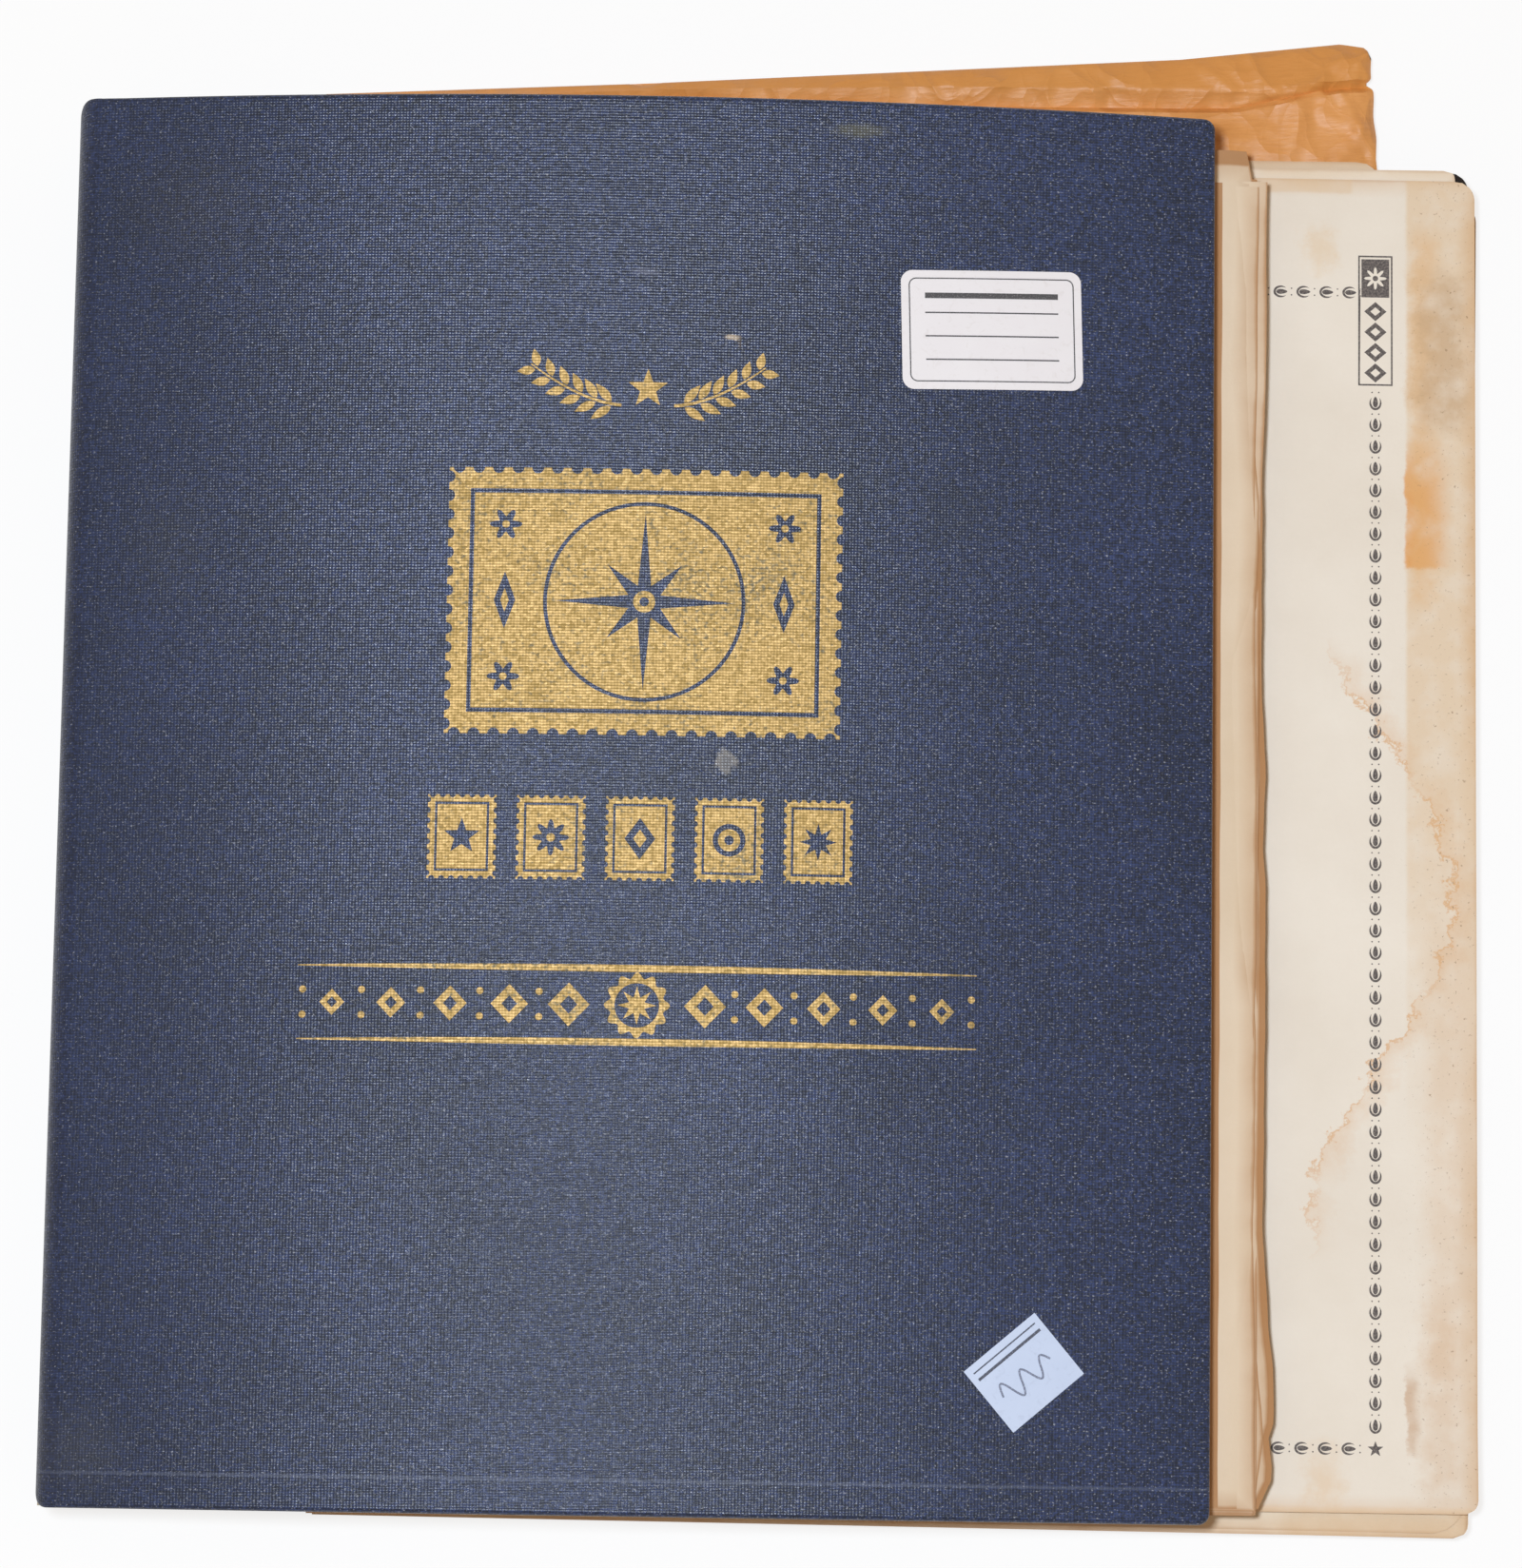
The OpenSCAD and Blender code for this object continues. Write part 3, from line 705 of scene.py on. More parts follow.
add_tide_line(tree, shader, colour, place)
under_stains = [
    ((-5, 270, 279, 300), (1, -1, 5, -1), 3.0, 0.35, "#CBA67E"),
    ((200, 270, -9, 12), (9, -1, 1, -6), 4.0, 0.4, "#D3AE80"),
]
under_finish = stained_paper("browned loose leaf", ("#E6D5BC", "#EDDFC9"), "#C9A074", under_stains)[0]
pale_tones = ("#EADDCA", "#F1E8DA")
second_finish = album_paper("loose leaf, hardly browned", pale_tones, "#D6B68C", loose_w, leaf_h)


def black_card(name):
    """Dyed stock card: near black, with a dry matt face and greyed fibres."""
    made, tree, shader = finish_of(name, Roughness=0.85, IOR=1.35)
    fibre = node(tree, "TexNoise", {"Vector": flat_places(tree), "Scale": 1.0, "Detail": 5.0})
    tone = {0: fibre, 6: linear("#120C08"), 7: linear("#231913")}
    tone = node(tree, "Mix", tone, data_type="RGBA", out=2)
    tree.links.new(tone, shader.inputs["Base Color"])
    bump = node(tree, "Bump", {"Height": fibre, "Strength": 0.3, "Distance": 0.0001})
    tree.links.new(bump, shader.inputs["Normal"])
    return made


def top_of(name):
    """Height of a node's upper face."""
    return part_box(name)[1].z / MM


stock_card = black_card("black stock card")
# each loose leaf: right side, tail, turn, curl, tail and head corner radii, finish and slot
loose_leaves = {
    "third_leaf": (280.5, 7.3, 0.3, 0.0, 2.0, 4.5, under_finish, "toned_paper"),
    "stock_leaf": (298.8, 5.2, 0.1, 0.0, 0.8, 4.4, stock_card, "stock_card"),
    "second_leaf": (296.6, 5.4, 0.25, 0.4, 3.0, 1.8, second_finish, "toned_paper"),
    "printed_leaf": (299.5, 2.9, 0.0, 0.9, 3.0, 4.2, page_finish, "printed_paper"),
}
sheets = {}
for name, (right, tail, turn, curl, tail_r, head_r, finish, slot) in loose_leaves.items():
    sheets[name] = Sheet(right, tail, turn, top_of(name), curl)
    piece = build(name + "_sheet", sheet_patches(sheets[name], tail_r, head_r, 60, 25), finish)
    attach(piece, name)
    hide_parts(name)

bundle_count = 14
bundle_pitch = 0.27
patches = []
for k in range(bundle_count):
    right, tail, turn = rng.uniform(296.0, 298.0), rng.uniform(-2.2, -0.8), rng.uniform(-0.5, -0.3)
    curl, tail_r = (0.3, 7.0) if k == 0 else (0.0, 3.0)
    sheet = Sheet(right, tail, turn, top_of("loose_bundle") - bundle_pitch * k, curl)
    patches += sheet_patches(sheet, tail_r, 3.0, 24, 20)
bundle = build("loose_bundle_sheets", patches, under_finish)
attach(bundle, "loose_bundle")
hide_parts("loose_bundle")

# ---------------------------------------------------------------------------
# Printing on the top loose leaf. A border of small husks with a star at the
# foot and a tall panel at the head, and rows of boxes for stamps, printed in
# one grey-brown ink that has sunk into the paper.

ink_lift = 0.02
husk_w, husk_h = 2.6, 3.05
husk_pitch = 4.75
husks_up, husks_across = 47, 37
row_pitch = 4.96
row_start = 5.6
border = (32.0, 220.5, 13.3, 260.8)
panel_w, panel_h = 7.4, 28.6
panel_rise = 8.2
block_rise = 9.2
diamond_count = 4
diamond_pitch = 4.5
boxes_left, boxes_low, boxes_w = 41.0, 28.0, 146.0
boxes_pitch = 44.0


def circle(x, y, radius, count):
    """A circle's outline, with evenly spaced points."""
    a = np.linspace(0, 2 * math.pi, count, endpoint=False)
    return np.stack([x + radius * np.cos(a), y + radius * np.sin(a)], -1)


def rosette(x, y, petals, radius, depth, fineness=12):
    """A flower's outline with round petals; fineness is the count of points for each."""
    a = np.linspace(0, 2 * math.pi, fineness * petals, endpoint=False)
    r = radius + depth * np.cos(petals * a)
    return np.stack([x + r * np.cos(a), y + r * np.sin(a)], -1)


def star(points, outer, inner, turn=math.pi / 2):
    """A star with its first point straight up."""
    a = turn + np.arange(2 * points) * math.pi / points
    r = np.where(np.arange(2 * points) % 2 == 0, outer, inner)
    return np.stack([r * np.cos(a), r * np.sin(a)], -1)


def rectangle(left, right, low, high):
    """A rectangle's corners, from its sides."""
    return np.array([(left, low), (right, low), (right, high), (left, high)])


def frame_of(left, right, low, high, line):
    """The two outlines of a ruled frame."""
    inner = rectangle(left + line, right - line, low + line, high - line)
    return [rectangle(left, right, low, high), inner]


def husk():
    """A husk that opens upwards: two crescents round a seed, as outlines."""
    t = np.linspace(-1, 1, 33)
    a = math.radians(-90) + t * math.radians(143)
    outer = np.stack([husk_w / 2 * np.cos(a), husk_h / 2 * np.sin(a)], -1)
    inner = np.stack([0.34 * husk_w * np.cos(a), 0.05 * husk_h + 0.39 * husk_h * np.sin(a)], -1)
    inner = outer + (inner - outer) * (1 - t**4)[:, None]
    t = np.linspace(-1, 1, 13)
    half = 0.2 * husk_w * np.sqrt(1 - t**2) * (1 - 0.3 * t)
    seed = np.concatenate([np.stack([half, t], -1), np.stack([-half, t], -1)[-2:0:-1]])
    return [np.concatenate([outer, inner[::-1]]), seed * (1, 0.4 * husk_h) + (0, 0.085 * husk_h)]


def placed(shapes, x, y, turn=0):
    """Outlines turned by quarter turns and moved."""
    c, s = round(math.cos(turn * math.pi / 2)), round(math.sin(turn * math.pi / 2))
    return [shape @ np.array([(c, s), (-s, c)]) + (x, y) for shape in shapes]


def flat_print(name, shapes, surface, finish, step=5.0):
    """Fills outlines, cuts them at every step across, and lays them on a surface."""
    curve = bpy.data.curves.new(name, "CURVE")
    curve.dimensions = "2D"
    curve.fill_mode = "BOTH"
    for shape in shapes:
        spline = curve.splines.new("POLY")
        spline.points.add(len(shape) - 1)
        flat_corners = np.column_stack([shape, np.zeros(len(shape)), np.ones(len(shape))])
        spline.points.foreach_set("co", flat_corners.ravel())
        spline.use_cyclic_u = True
    drawn = bpy.data.objects.new(name, curve)
    bpy.context.scene.collection.objects.link(drawn)
    mesh = bpy.data.meshes.new_from_object(drawn.evaluated_get(bpy.context.evaluated_depsgraph_get()))
    bpy.data.objects.remove(drawn)
    work = bmesh.new()
    work.from_mesh(mesh)
    for axis in (0, 1):
        low = min(v.co[axis] for v in work.verts)
        high = max(v.co[axis] for v in work.verts)
        for cut in np.arange(low + step, high, step):
            whole = work.verts[:] + work.edges[:] + work.faces[:]
            at, way = [0, 0, 0], [0, 0, 0]
            at[axis], way[axis] = cut, 1
            bmesh.ops.bisect_plane(work, geom=whole, plane_co=at, plane_no=way)
    layer = work.loops.layers.uv.new("flat")
    for face in work.faces:
        for loop in face.loops:
            loop[layer].uv = loop.vert.co.xy
    work.to_mesh(mesh)
    work.free()
    co = np.array([v.co for v in mesh.vertices])
    mesh.vertices.foreach_set("co", surface(co[:, 0], co[:, 1]).astype(np.float32).ravel())
    mesh.materials.clear()
    mesh.materials.append(finish)
    mesh.shade_smooth()
    piece = bpy.data.objects.new(name, mesh)
    bpy.context.scene.collection.objects.link(piece)
    return piece


def page_border():
    """Husk chains with pairs of dots between them, foot stars and head panels."""
    left, right, low, high = border
    shapes = []
    dots = [circle(side * 0.72, husk_pitch / 2, 0.17, 8) for side in (-1, 1)]
    for x in (left, right):
        for k in range(husks_up):
            y = low + (1 + k) * husk_pitch
            shapes += placed(husk(), x, y) + placed(dots, x, y)
        shapes += placed([star(5, 1.75, 0.7)], x, low)
        foot, top = high - panel_h + panel_rise, high + panel_rise
        shapes += frame_of(x - panel_w / 2, x + panel_w / 2, foot, top, 0.35)
        shapes.append(rectangle(x - panel_w / 2 + 0.7, x + panel_w / 2 - 0.7, top - block_rise, top - 0.8))
        shapes.append(rosette(x, top - 5.0, 8, 1.75, 0.75, 6))
        shapes.append(circle(x, top - 5.0, 0.6, 12))
        for k in range(diamond_count):
            diamond = np.array([(0, -2.1), (2.4, 0), (0, 2.1), (-2.4, 0)])
            shapes.append(diamond + (x, foot + 2.8 + diamond_pitch * k))
            shapes.append(diamond * 0.45 + (x, foot + 2.8 + diamond_pitch * k))
    for y in (low, high):
        for k in range(husks_across):
            x = right - row_start - k * row_pitch
            shapes += placed(husk(), x, y, turn=-1) + placed(dots, x, y, turn=-1)
    return shapes


def stamp_boxes():
    """Thin-ruled boxes, in rows, that show where stamps are mounted."""
    shapes = []
    upright, lying = (4, 26, 31), (3, 42, 27)
    for row, (count, box_w, box_h) in enumerate([upright, lying, upright, lying, upright]):
        gap = (boxes_w - count * box_w) / (count - 1)
        for k in range(count):
            x, y = boxes_left + k * (box_w + gap), boxes_low + row * boxes_pitch
            shapes += frame_of(x, x + box_w, y, y + box_h, 0.3)
    return shapes


def printing_ink(name):
    """Letterpress ink: grey-brown, matt, thinner where the paper's fibres stand up."""
    made, tree, shader = finish_of(name, Roughness=0.75)
    fibre = node(tree, "TexNoise", {"Vector": flat_places(tree), "Scale": 2.2, "Detail": 4.0})
    thin = node(tree, "MapRange", {"Value": fibre, "From Min": 0.42, "From Max": 0.75, "To Max": 0.6})
    tone = {0: thin, 6: linear("#4C4543"), 7: linear("#A0958C")}
    tone = node(tree, "Mix", tone, data_type="RGBA", out=2)
    tree.links.new(tone, shader.inputs["Base Color"])
    return made


ink = printing_ink("grey-brown printing ink")
for name, shapes in (("page_border_print", page_border()), ("stamp_box_print", stamp_boxes())):
    piece = flat_print(name, shapes, lambda u, v: sheets["printed_leaf"].at(u, v, ink_lift), ink)
    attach(piece, "printed_leaf")

# ---------------------------------------------------------------------------
# Envelope. A large kraft envelope lies under the loose leaves with its closed
# head sticking out past the album. It is creased and a little puffed up.

envelope_w, envelope_h = 228.6, 304.8
envelope_corner = (278.3, 319.3)
envelope_turn = math.radians(3.4)
envelope_low = top_of("envelope_flap")
envelope_high = top_of("envelope_body")
corner_w = 60
puff_run = 7


def kraft_paper(name, places, flap_shade_tone=None):
    """Brown kraft: unbleached sulphate pulp with a glazed face, faintly ribbed and crumpled by handling."""
    made, tree, shader = finish_of(name)
    place = places(tree)
    cloud = node(tree, "TexNoise", {"Vector": place, "Scale": 0.035, "Detail": 6.0, "Roughness": 0.65})
    cloud = node(tree, "MapRange", {"Value": cloud, "From Min": 0.3, "From Max": 0.7})
    tones = {6: linear("#D18B46"), 7: linear("#E2A05C")}
    tone = node(tree, "Mix", {0: cloud, **tones}, data_type="RGBA", out=2)
    ribs = node(tree, "VectorMath", {0: place, 1: (0.3, 1.6, 1)}, operation="MULTIPLY")
    fibre = node(tree, "TexNoise", {"Vector": ribs, "Scale": 1.0, "Detail": 4.0})
    faint = node(tree, "MapRange", {"Value": fibre, "From Min": 0.38, "From Max": 0.68, "To Max": 0.14})
    colour = node(tree, "Mix", {0: faint, 6: tone, 7: linear("#A8652C")}, data_type="RGBA", out=2)
    if flap_shade_tone:
        # above its crease the folded-over head is painted darker: painted shade where it slopes away from
        # the light
        across, up = node(tree, "SeparateXYZ", {0: place}).node.outputs[:2]
        crease_slope = 0.0443
        above = node(tree, "Math", {0: across, 1: crease_slope, 2: up}, operation="MULTIPLY_ADD")
        above = node(tree, "MapRange", {"Value": above, "From Min": -9.6, "From Max": -8.8, "To Max": 0.6})
        colour = node(tree, "Mix", {0: above, 6: colour, 7: linear(flap_shade_tone)}, data_type="RGBA", out=2)
    tree.links.new(colour, shader.inputs["Base Color"])
    rough = node(tree, "MapRange", {"Value": fibre, "To Min": 0.4, "To Max": 0.56})
    tree.links.new(rough, shader.inputs["Roughness"])
    warp = node(tree, "TexNoise", {"Vector": place, "Scale": 0.05, "Detail": 2.0}, out=1)
    warp = node(tree, "VectorMath", {0: warp, "Scale": 22.0}, operation="SCALE")
    warp = node(tree, "VectorMath", {0: place, 1: warp}, operation="ADD")
    crumple = node(tree, "TexVoronoi", {"Vector": warp, "Scale": 0.075, "Detail": 1.0})
    relief = node(tree, "Mix", {0: 0.05, 2: crumple, 3: fibre}, data_type="FLOAT")
    bump = node(tree, "Bump", {"Height": relief, "Strength": 0.5, "Distance": 0.004})
    tree.links.new(bump, shader.inputs["Normal"])
    return made


# lines across the head of the envelope, as places from its head corner
head_line = [
    (-229, 0), (-161, -0.5), (-159, -1.5), (-157, -0.5), (-42, 0), (-7, 2), (-1.5, 1), (-0.5, 0), (0, -1.5),
]
upper_crease = [(-229, -2), (-155, -2.5), (-92, -4.5), (-40, -7.5), (-30, -8.5), (-12, -7), (0, -6.5)]
lower_crease = [(-229, -4), (-155, -4.5), (-92, -8.5), (-43, -11), (-30, -11.5), (-12, -8.5), (0, -8)]
# wrinkles: two ends, height and width
wrinkles = [
    (-37, -2.5, -31, -8.6, 0.6, 2.0), (-12.5, -7.6, -6, -1, 0.7, 2.2), (-5, -8.5, -3, -3, 0.7, 1.8),
    (-30.3, -11.3, -22, -9.2, 0.8, 2.0), (-22, -9.2, -12.5, -8.4, 0.8, 1.8), (-8, -9, -4, -17, 0.9, 2.2),
    (-12, -14, -4, -17, 0.6, 2.2), (-9, -24, -2, -17.5, 0.7, 2.4), (-16, -12, -19, -20, 0.45, 2.5),
    (-60, -7, -56, -3, 0.5, 2.5), (-96, -6, -93, -2, 0.4, 2.5), (-75, -14, -50, -12.5, 0.5, 3.0),
    (-46, -16, -28, -19, 0.4, 3.0), (-200, -12, -180, -14, 0.4, 3.0),
]


def near_line(u, v, line):
    """Distance from a straight stretch between two ends."""
    u0, v0, u1, v1 = line
    t = np.clip(((u - u0) * (u1 - u0) + (v - v0) * (v1 - v0)) / ((u1 - u0) ** 2 + (v1 - v0) ** 2), 0, 1)
    return np.hypot(u - u0 - t * (u1 - u0), v - v0 - t * (v1 - v0))


def envelope_bag(finish):
    """Bag that is puffed up over its contents, folded over at the head and wrinkled there."""
    # the lattice is close-set at the wrinkled corner
    u = np.concatenate([np.linspace(-envelope_w, -corner_w, 70), np.linspace(-corner_w, 0, 76)[1:]])
    # the lattice's rows run from one mark across the bag to the next, from the head down to the closed tail
    marks = [np.interp(u, *np.array(line).T) for line in (head_line, upper_crease, lower_crease)]
    marks += [marks[2] - 1.3, np.minimum(marks[2] - 9, -20)]
    marks += [np.full(u.size, -40), np.full(u.size, -envelope_h)]
    rows = []
    for upper, lower, count in zip(marks, marks[1:], (10, 8, 4, 12, 10, 40)):
        rows += [upper + (lower - upper) * t for t in np.linspace(0, 1, count, endpoint=False)]
    vv = np.array(rows + [marks[-1]])
    uu = np.broadcast_to(u, vv.shape)
    top_v, low_v = vv[:1], vv[-1:]
    edge = np.minimum(np.minimum(-uu, uu + envelope_w), np.minimum(top_v - vv, vv - low_v))
    inside = np.clip(edge / puff_run, 0, 1)
    puff = np.sqrt(inside * (2 - inside))
    # the flap's fold stands up as a ridge, drops to a groove and steps up to the face
    steps = [0, 1.2, -0.9, 0.5, 0]
    profile = np.zeros(vv.shape)
    for k in range(u.size):
        depths = [-marks[j][k] for j in range(4)] + [-marks[3][k] + 14]
        profile[:, k] = np.interp(-vv[:, k], depths, steps)
    crumple = sum(h * np.maximum(1 - near_line(uu, vv, line) / w, 0) for *line, h, w in wrinkles)
    middle = (envelope_low + envelope_high) / 2
    free = ease((vv + 46) / 18)
    top = middle + (envelope_high - middle) * puff + (profile + crumple) * free * np.sqrt(puff)
    bottom = middle - (middle - envelope_low) * puff
    # the right edge is worn wavy, with a nick where the flap's fold ends
    nick = 1.4 * np.exp(-(((vv + 7.3) / 0.8) ** 2))
    worn = uu - (0.25 + 0.35 * np.sin(vv / 3.1) ** 2 + nick) * ease((uu + 5) / 5)
    x = envelope_corner[0] + worn * math.cos(envelope_turn) - vv * math.sin(envelope_turn)
    y = envelope_corner[1] + worn * math.sin(envelope_turn) + vv * math.cos(envelope_turn)
    flat = np.stack([uu, vv], -1)
    return build("kraft_envelope", [(spot(x, y, top), flat), (spot(x, y, bottom), flat)], finish)


# its third colour is painted shade on the folded-over head
envelope = envelope_bag(kraft_paper("kraft paper", flat_places, "#CF8A3E"))
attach(envelope, "envelope")
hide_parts("envelope_body")
dress("envelope_flap", kraft_paper("kraft paper, flap", own_places))

# ---------------------------------------------------------------------------
# Front cover. The same board and cloth as the back. It arches over the leaves,
# and its cloth bends round the spine in one piece.

cover_w = (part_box("front_cloth")[1].x - spine_x) / MM

dress("front_board", board_finish)
dress("front_lining", lining_finish)


def front_line(s, depth):
    """Section of the front cover's cloth: up the spine, round the fold and over the arch."""
    bend = np.clip((s - case_x) / joint_r + joint_turn, 0, joint_turn)
    below = case_x - joint_r * joint_turn - s
    depth = depth + tucked * ease(below + 0.5)
    over = np.maximum(s, case_x)
    on_arch = s > case_x
    lean = np.where(on_arch, (over - crown_x) / arch_r, -np.cos(bend))
    x = np.where(on_arch, s, joint_r * (1 - np.cos(bend))) - depth * lean
    outer = np.where(on_arch, arch_top(over), joint_foot + joint_r * np.sin(bend) - np.maximum(below, 0))
    return x, outer - depth * np.sqrt(1 - lean**2)


front_start = case_x - joint_r * joint_turn - cloth_lap


def add_marks(made, marks):
    """Scuffs, spots and painted shade on a cloth: each has a place, a size, a soft edge, a strength and a
    colour.
    """
    tree = made.node_tree
    shader = next(n for n in tree.nodes if n.type == "BSDF_PRINCIPLED")
    colour = shader.inputs["Base Color"].links[0].from_socket
    place = flat_places(tree)
    ragged = node(tree, "TexNoise", {"Vector": place, "Scale": 0.5, "Detail": 4.0, "Roughness": 0.7}, out=1)
    ragged = node(tree, "VectorMath", {0: ragged, 1: (0.5, 0.5, 0.5)}, operation="SUBTRACT")
    for x, y, width, height, soft, strength, tone in marks:
        far = node(tree, "VectorMath", {0: ragged, "Scale": 1.2 * min(width, height)}, operation="SCALE")
        off = node(tree, "VectorMath", {0: place, 1: (x, y, 0)}, operation="SUBTRACT")
        off = node(tree, "VectorMath", {0: off, 1: far}, operation="ADD")
        off = node(tree, "VectorMath", {0: off, 1: (2 / width, 2 / height, 0)}, operation="MULTIPLY")
        far = node(tree, "VectorMath", {0: off}, operation="LENGTH", out=1)
        span = {"Value": far, "From Min": 1 - soft, "From Max": 1 + soft, "To Min": strength, "To Max": 0.0}
        mask = node(tree, "MapRange", span, interpolation_type="SMOOTHSTEP")
        colour = node(tree, "Mix", {0: mask, 6: colour, 7: linear(tone)}, data_type="RGBA", out=2)
    tree.links.new(colour, shader.inputs["Base Color"])


cover_marks = [
    # the first mark is painted shade: the cloth darker towards the spine side
    (0.0, 148.0, 70.0, 520.0, 0.9, 0.35, "#151C33"), (139.5, 154.8, 4.4, 4.4, 0.25, 0.75, "#807C78"),
    (139.6, 154.6, 2.4, 2.6, 0.4, 0.6, "#55565C"), (139.5, 244.3, 3.0, 1.1, 0.4, 0.9, "#B0A08C"),
    (141.0, 243.2, 0.8, 2.2, 0.5, 0.7, "#4A4038"), (165.5, 289.5, 10.0, 2.6, 0.7, 0.55, "#5C5A45"),
    (160.0, 214.0, 22.0, 9.0, 0.8, 0.4, "#1C2230"), (186.0, 208.0, 13.0, 12.0, 0.9, 0.35, "#1C2230"),
    (22.0, 200.0, 14.0, 20.0, 0.9, 0.15, "#3A3A38"), (26.0, 272.0, 24.0, 18.0, 0.9, 0.15, "#3C3934"),
    (118.0, 7.2, 300.0, 0.7, 0.5, 0.3, "#6C748A"), (9.0, 12.0, 16.0, 14.0, 0.9, 0.25, "#44454A"),
    (121.0, 258.0, 5.0, 1.6, 0.6, 0.4, "#70748A"),
]
front_cloth = book_cloth("navy book cloth, front cover", flat_places, cover_w)
add_marks(front_cloth, cover_marks)
front_case = case_cloth("front_cover_cloth", front_line, cover_w, front_start, front_cloth)
spot(0.3, 0, 0)
spot(case_x, 0, 0)
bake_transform(front_case)
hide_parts("front_cloth", "front_joint_cloth")

# ---------------------------------------------------------------------------
# Gold blocking. Foil is pressed into the cloth with a hot die: a perforated
# stamp with a compass star, a row of small stamps and ornamental rules. It
# takes the weave, and rubs through to the cloth on the high threads.

foil_lift = 0.03
foil_middle = 122.0
sprig_y, stamp_y, row_y, band_y = 233.0, 188.0, 138.5, 104.0


def on_cover(x, y, lift=foil_lift):
    """Points on the front cover's arch."""
    ax, az = front_line(x, -lift * np.ones_like(x))
    return spot(ax, y, az)


def perforated(cx, cy, width, height, pitch, bite):
    """Outline of a stamp with a row of half-round bites along each side."""
    outline = []
    sides = [
        (cx - width / 2, cy - height / 2, 1, 0, width), (cx + width / 2, cy - height / 2, 0, 1, height),
        (cx + width / 2, cy + height / 2, -1, 0, width), (cx - width / 2, cy + height / 2, 0, -1, height),
    ]
    for x, y, dx, dy, length in sides:
        outline.append((x, y))
        count = round(length / pitch)
        for k in range(count):
            middle = (k + 0.5) * length / count
            for a in np.linspace(math.pi, 0, 9):
                run, dip = middle + bite * math.cos(a), bite * math.sin(a)
                outline.append((x + dx * run - dy * dip, y + dy * run + dx * dip))
    return np.array(outline)


def ribbon(points, half):
    """Outline of a stroke along points, with its half width at each."""
    points, half = np.array(points, float), np.broadcast_to(half, len(points))[:, None]
    way = np.gradient(points, axis=0)
    side = np.stack([-way[:, 1], way[:, 0]], -1) / np.hypot(*way.T)[:, None] * half
    return np.concatenate([points + side, (points - side)[::-1]])


def laurel(x, y, side):
    """A sprig that curves up and outwards, with pairs of leaves that shorten to its tip."""
    t = np.linspace(0, 1, 25)
    stem = np.stack([x + side * (5.5 + 19 * t), y - 3.5 + 8.5 * t**1.7], -1)
    shapes = [ribbon(stem, 0.35 - 0.2 * t)]
    way = np.gradient(stem, axis=0)
    for k in range(2, 25, 4):
        heading = math.atan2(way[k, 1], way[k, 0])
        for turn in (-0.72, 0.72):
            length = 5.2 - 1.6 * t[k]
            c, s = math.cos(heading + turn), math.sin(heading + turn)
            along = np.linspace(0, 1, 9)
            blade = np.stack([0.75 + length * along, 0 * along], -1)
            leaf_line = ribbon(blade, 0.95 * np.sin(math.pi * along**0.8) + 0.01)
            shapes.append(leaf_line @ np.array([(c, s), (-s, c)]) + stem[k])
    return shapes


def lozenge(x, y, width, height):
    """A lozenge's corners, round its middle."""
    return np.array([(x - width / 2, y), (x, y - height / 2), (x + width / 2, y), (x, y + height / 2)])


def large_stamp(x, y):
    """A perforated stamp: a compass star in a ring, in a ruled frame with flowers and lozenges."""
    shapes = [perforated(x, y, 82, 56, 4.1, 1.25)]
    shapes += frame_of(x - 36.5, x + 36.5, y - 23.5, y + 23.5, 0.9)
    shapes += [circle(x, y, 21.0, 64), circle(x, y, 20.2, 64)]
    a = np.arange(16) * math.pi / 8
    r = np.array([18.6, 3.6, 11.0, 3.6] * 4)
    shapes.append(np.stack([x + r * np.cos(a), y + r * np.sin(a)], -1))
    shapes += [circle(x, y, 2.3, 24), circle(x, y, 1.0, 16)]
    for at in (x - 29, x + 29):
        for flower_y in (y - 16, y + 16):
            shapes += [rosette(at, flower_y, 6, 2.5, 0.9), circle(at, flower_y, 0.8, 12)]
        shapes += [lozenge(at, y, 4.5, 12), lozenge(at, y, 1.8, 5)]
    return shapes


def small_stamps(x, y):
    """A row of five perforated stamps, each with a plain figure in a ruled frame."""
    figures = [
        [star(5, 3.9, 1.6)],
        [rosette(0, 0, 8, 2.9, 0.9), circle(0, 0, 0.9, 12)],
        [lozenge(0, 0, 6.4, 8.6), lozenge(0, 0, 2.8, 3.8)],
        [circle(0, 0, 3.4, 32), circle(0, 0, 2.3, 32), circle(0, 0, 1.0, 16)],
        [star(8, 3.9, 1.7)],
    ]
    shapes = []
    for k, figure in enumerate(figures):
        at = x + 18.4 * (k - 2)
        shapes.append(perforated(at, y, 14.2, 17.4, 2.05, 0.62))
        shapes += frame_of(at - 5.6, at + 5.6, y - 7.2, y + 7.2, 0.5)
        shapes += [outline + (at, y) for outline in figure]
    return shapes


def ornament_band(x, y):
    """A flower between lozenges and dots that shrink outwards, with a swelling rule above and below."""
    shapes = [rosette(x, y, 12, 6.2, 0.6), circle(x, y, 4.6, 32), star(8, 4.0, 1.7) + (x, y)]
    t = np.linspace(-1, 1, 61)
    for rule_y in (y - 7.6, y + 7.6):
        rule = np.stack([x + 70 * t, rule_y + 0 * t], -1)
        shapes.append(ribbon(rule, 0.12 + 0.62 * (1 - t**2)))
    for side in (-1, 1):
        for k in range(5):
            at, size = x + side * (14.0 + 12.2 * k), 1 - 0.1 * k
            shapes += [lozenge(at, y, 8.6 * size, 9.0 * size), lozenge(at, y, 3.6 * size, 3.8 * size)]
            shapes += [circle(at + side * 6.1, y + rise, 0.75, 12) for rise in (-2.6, 2.6)]
    return shapes


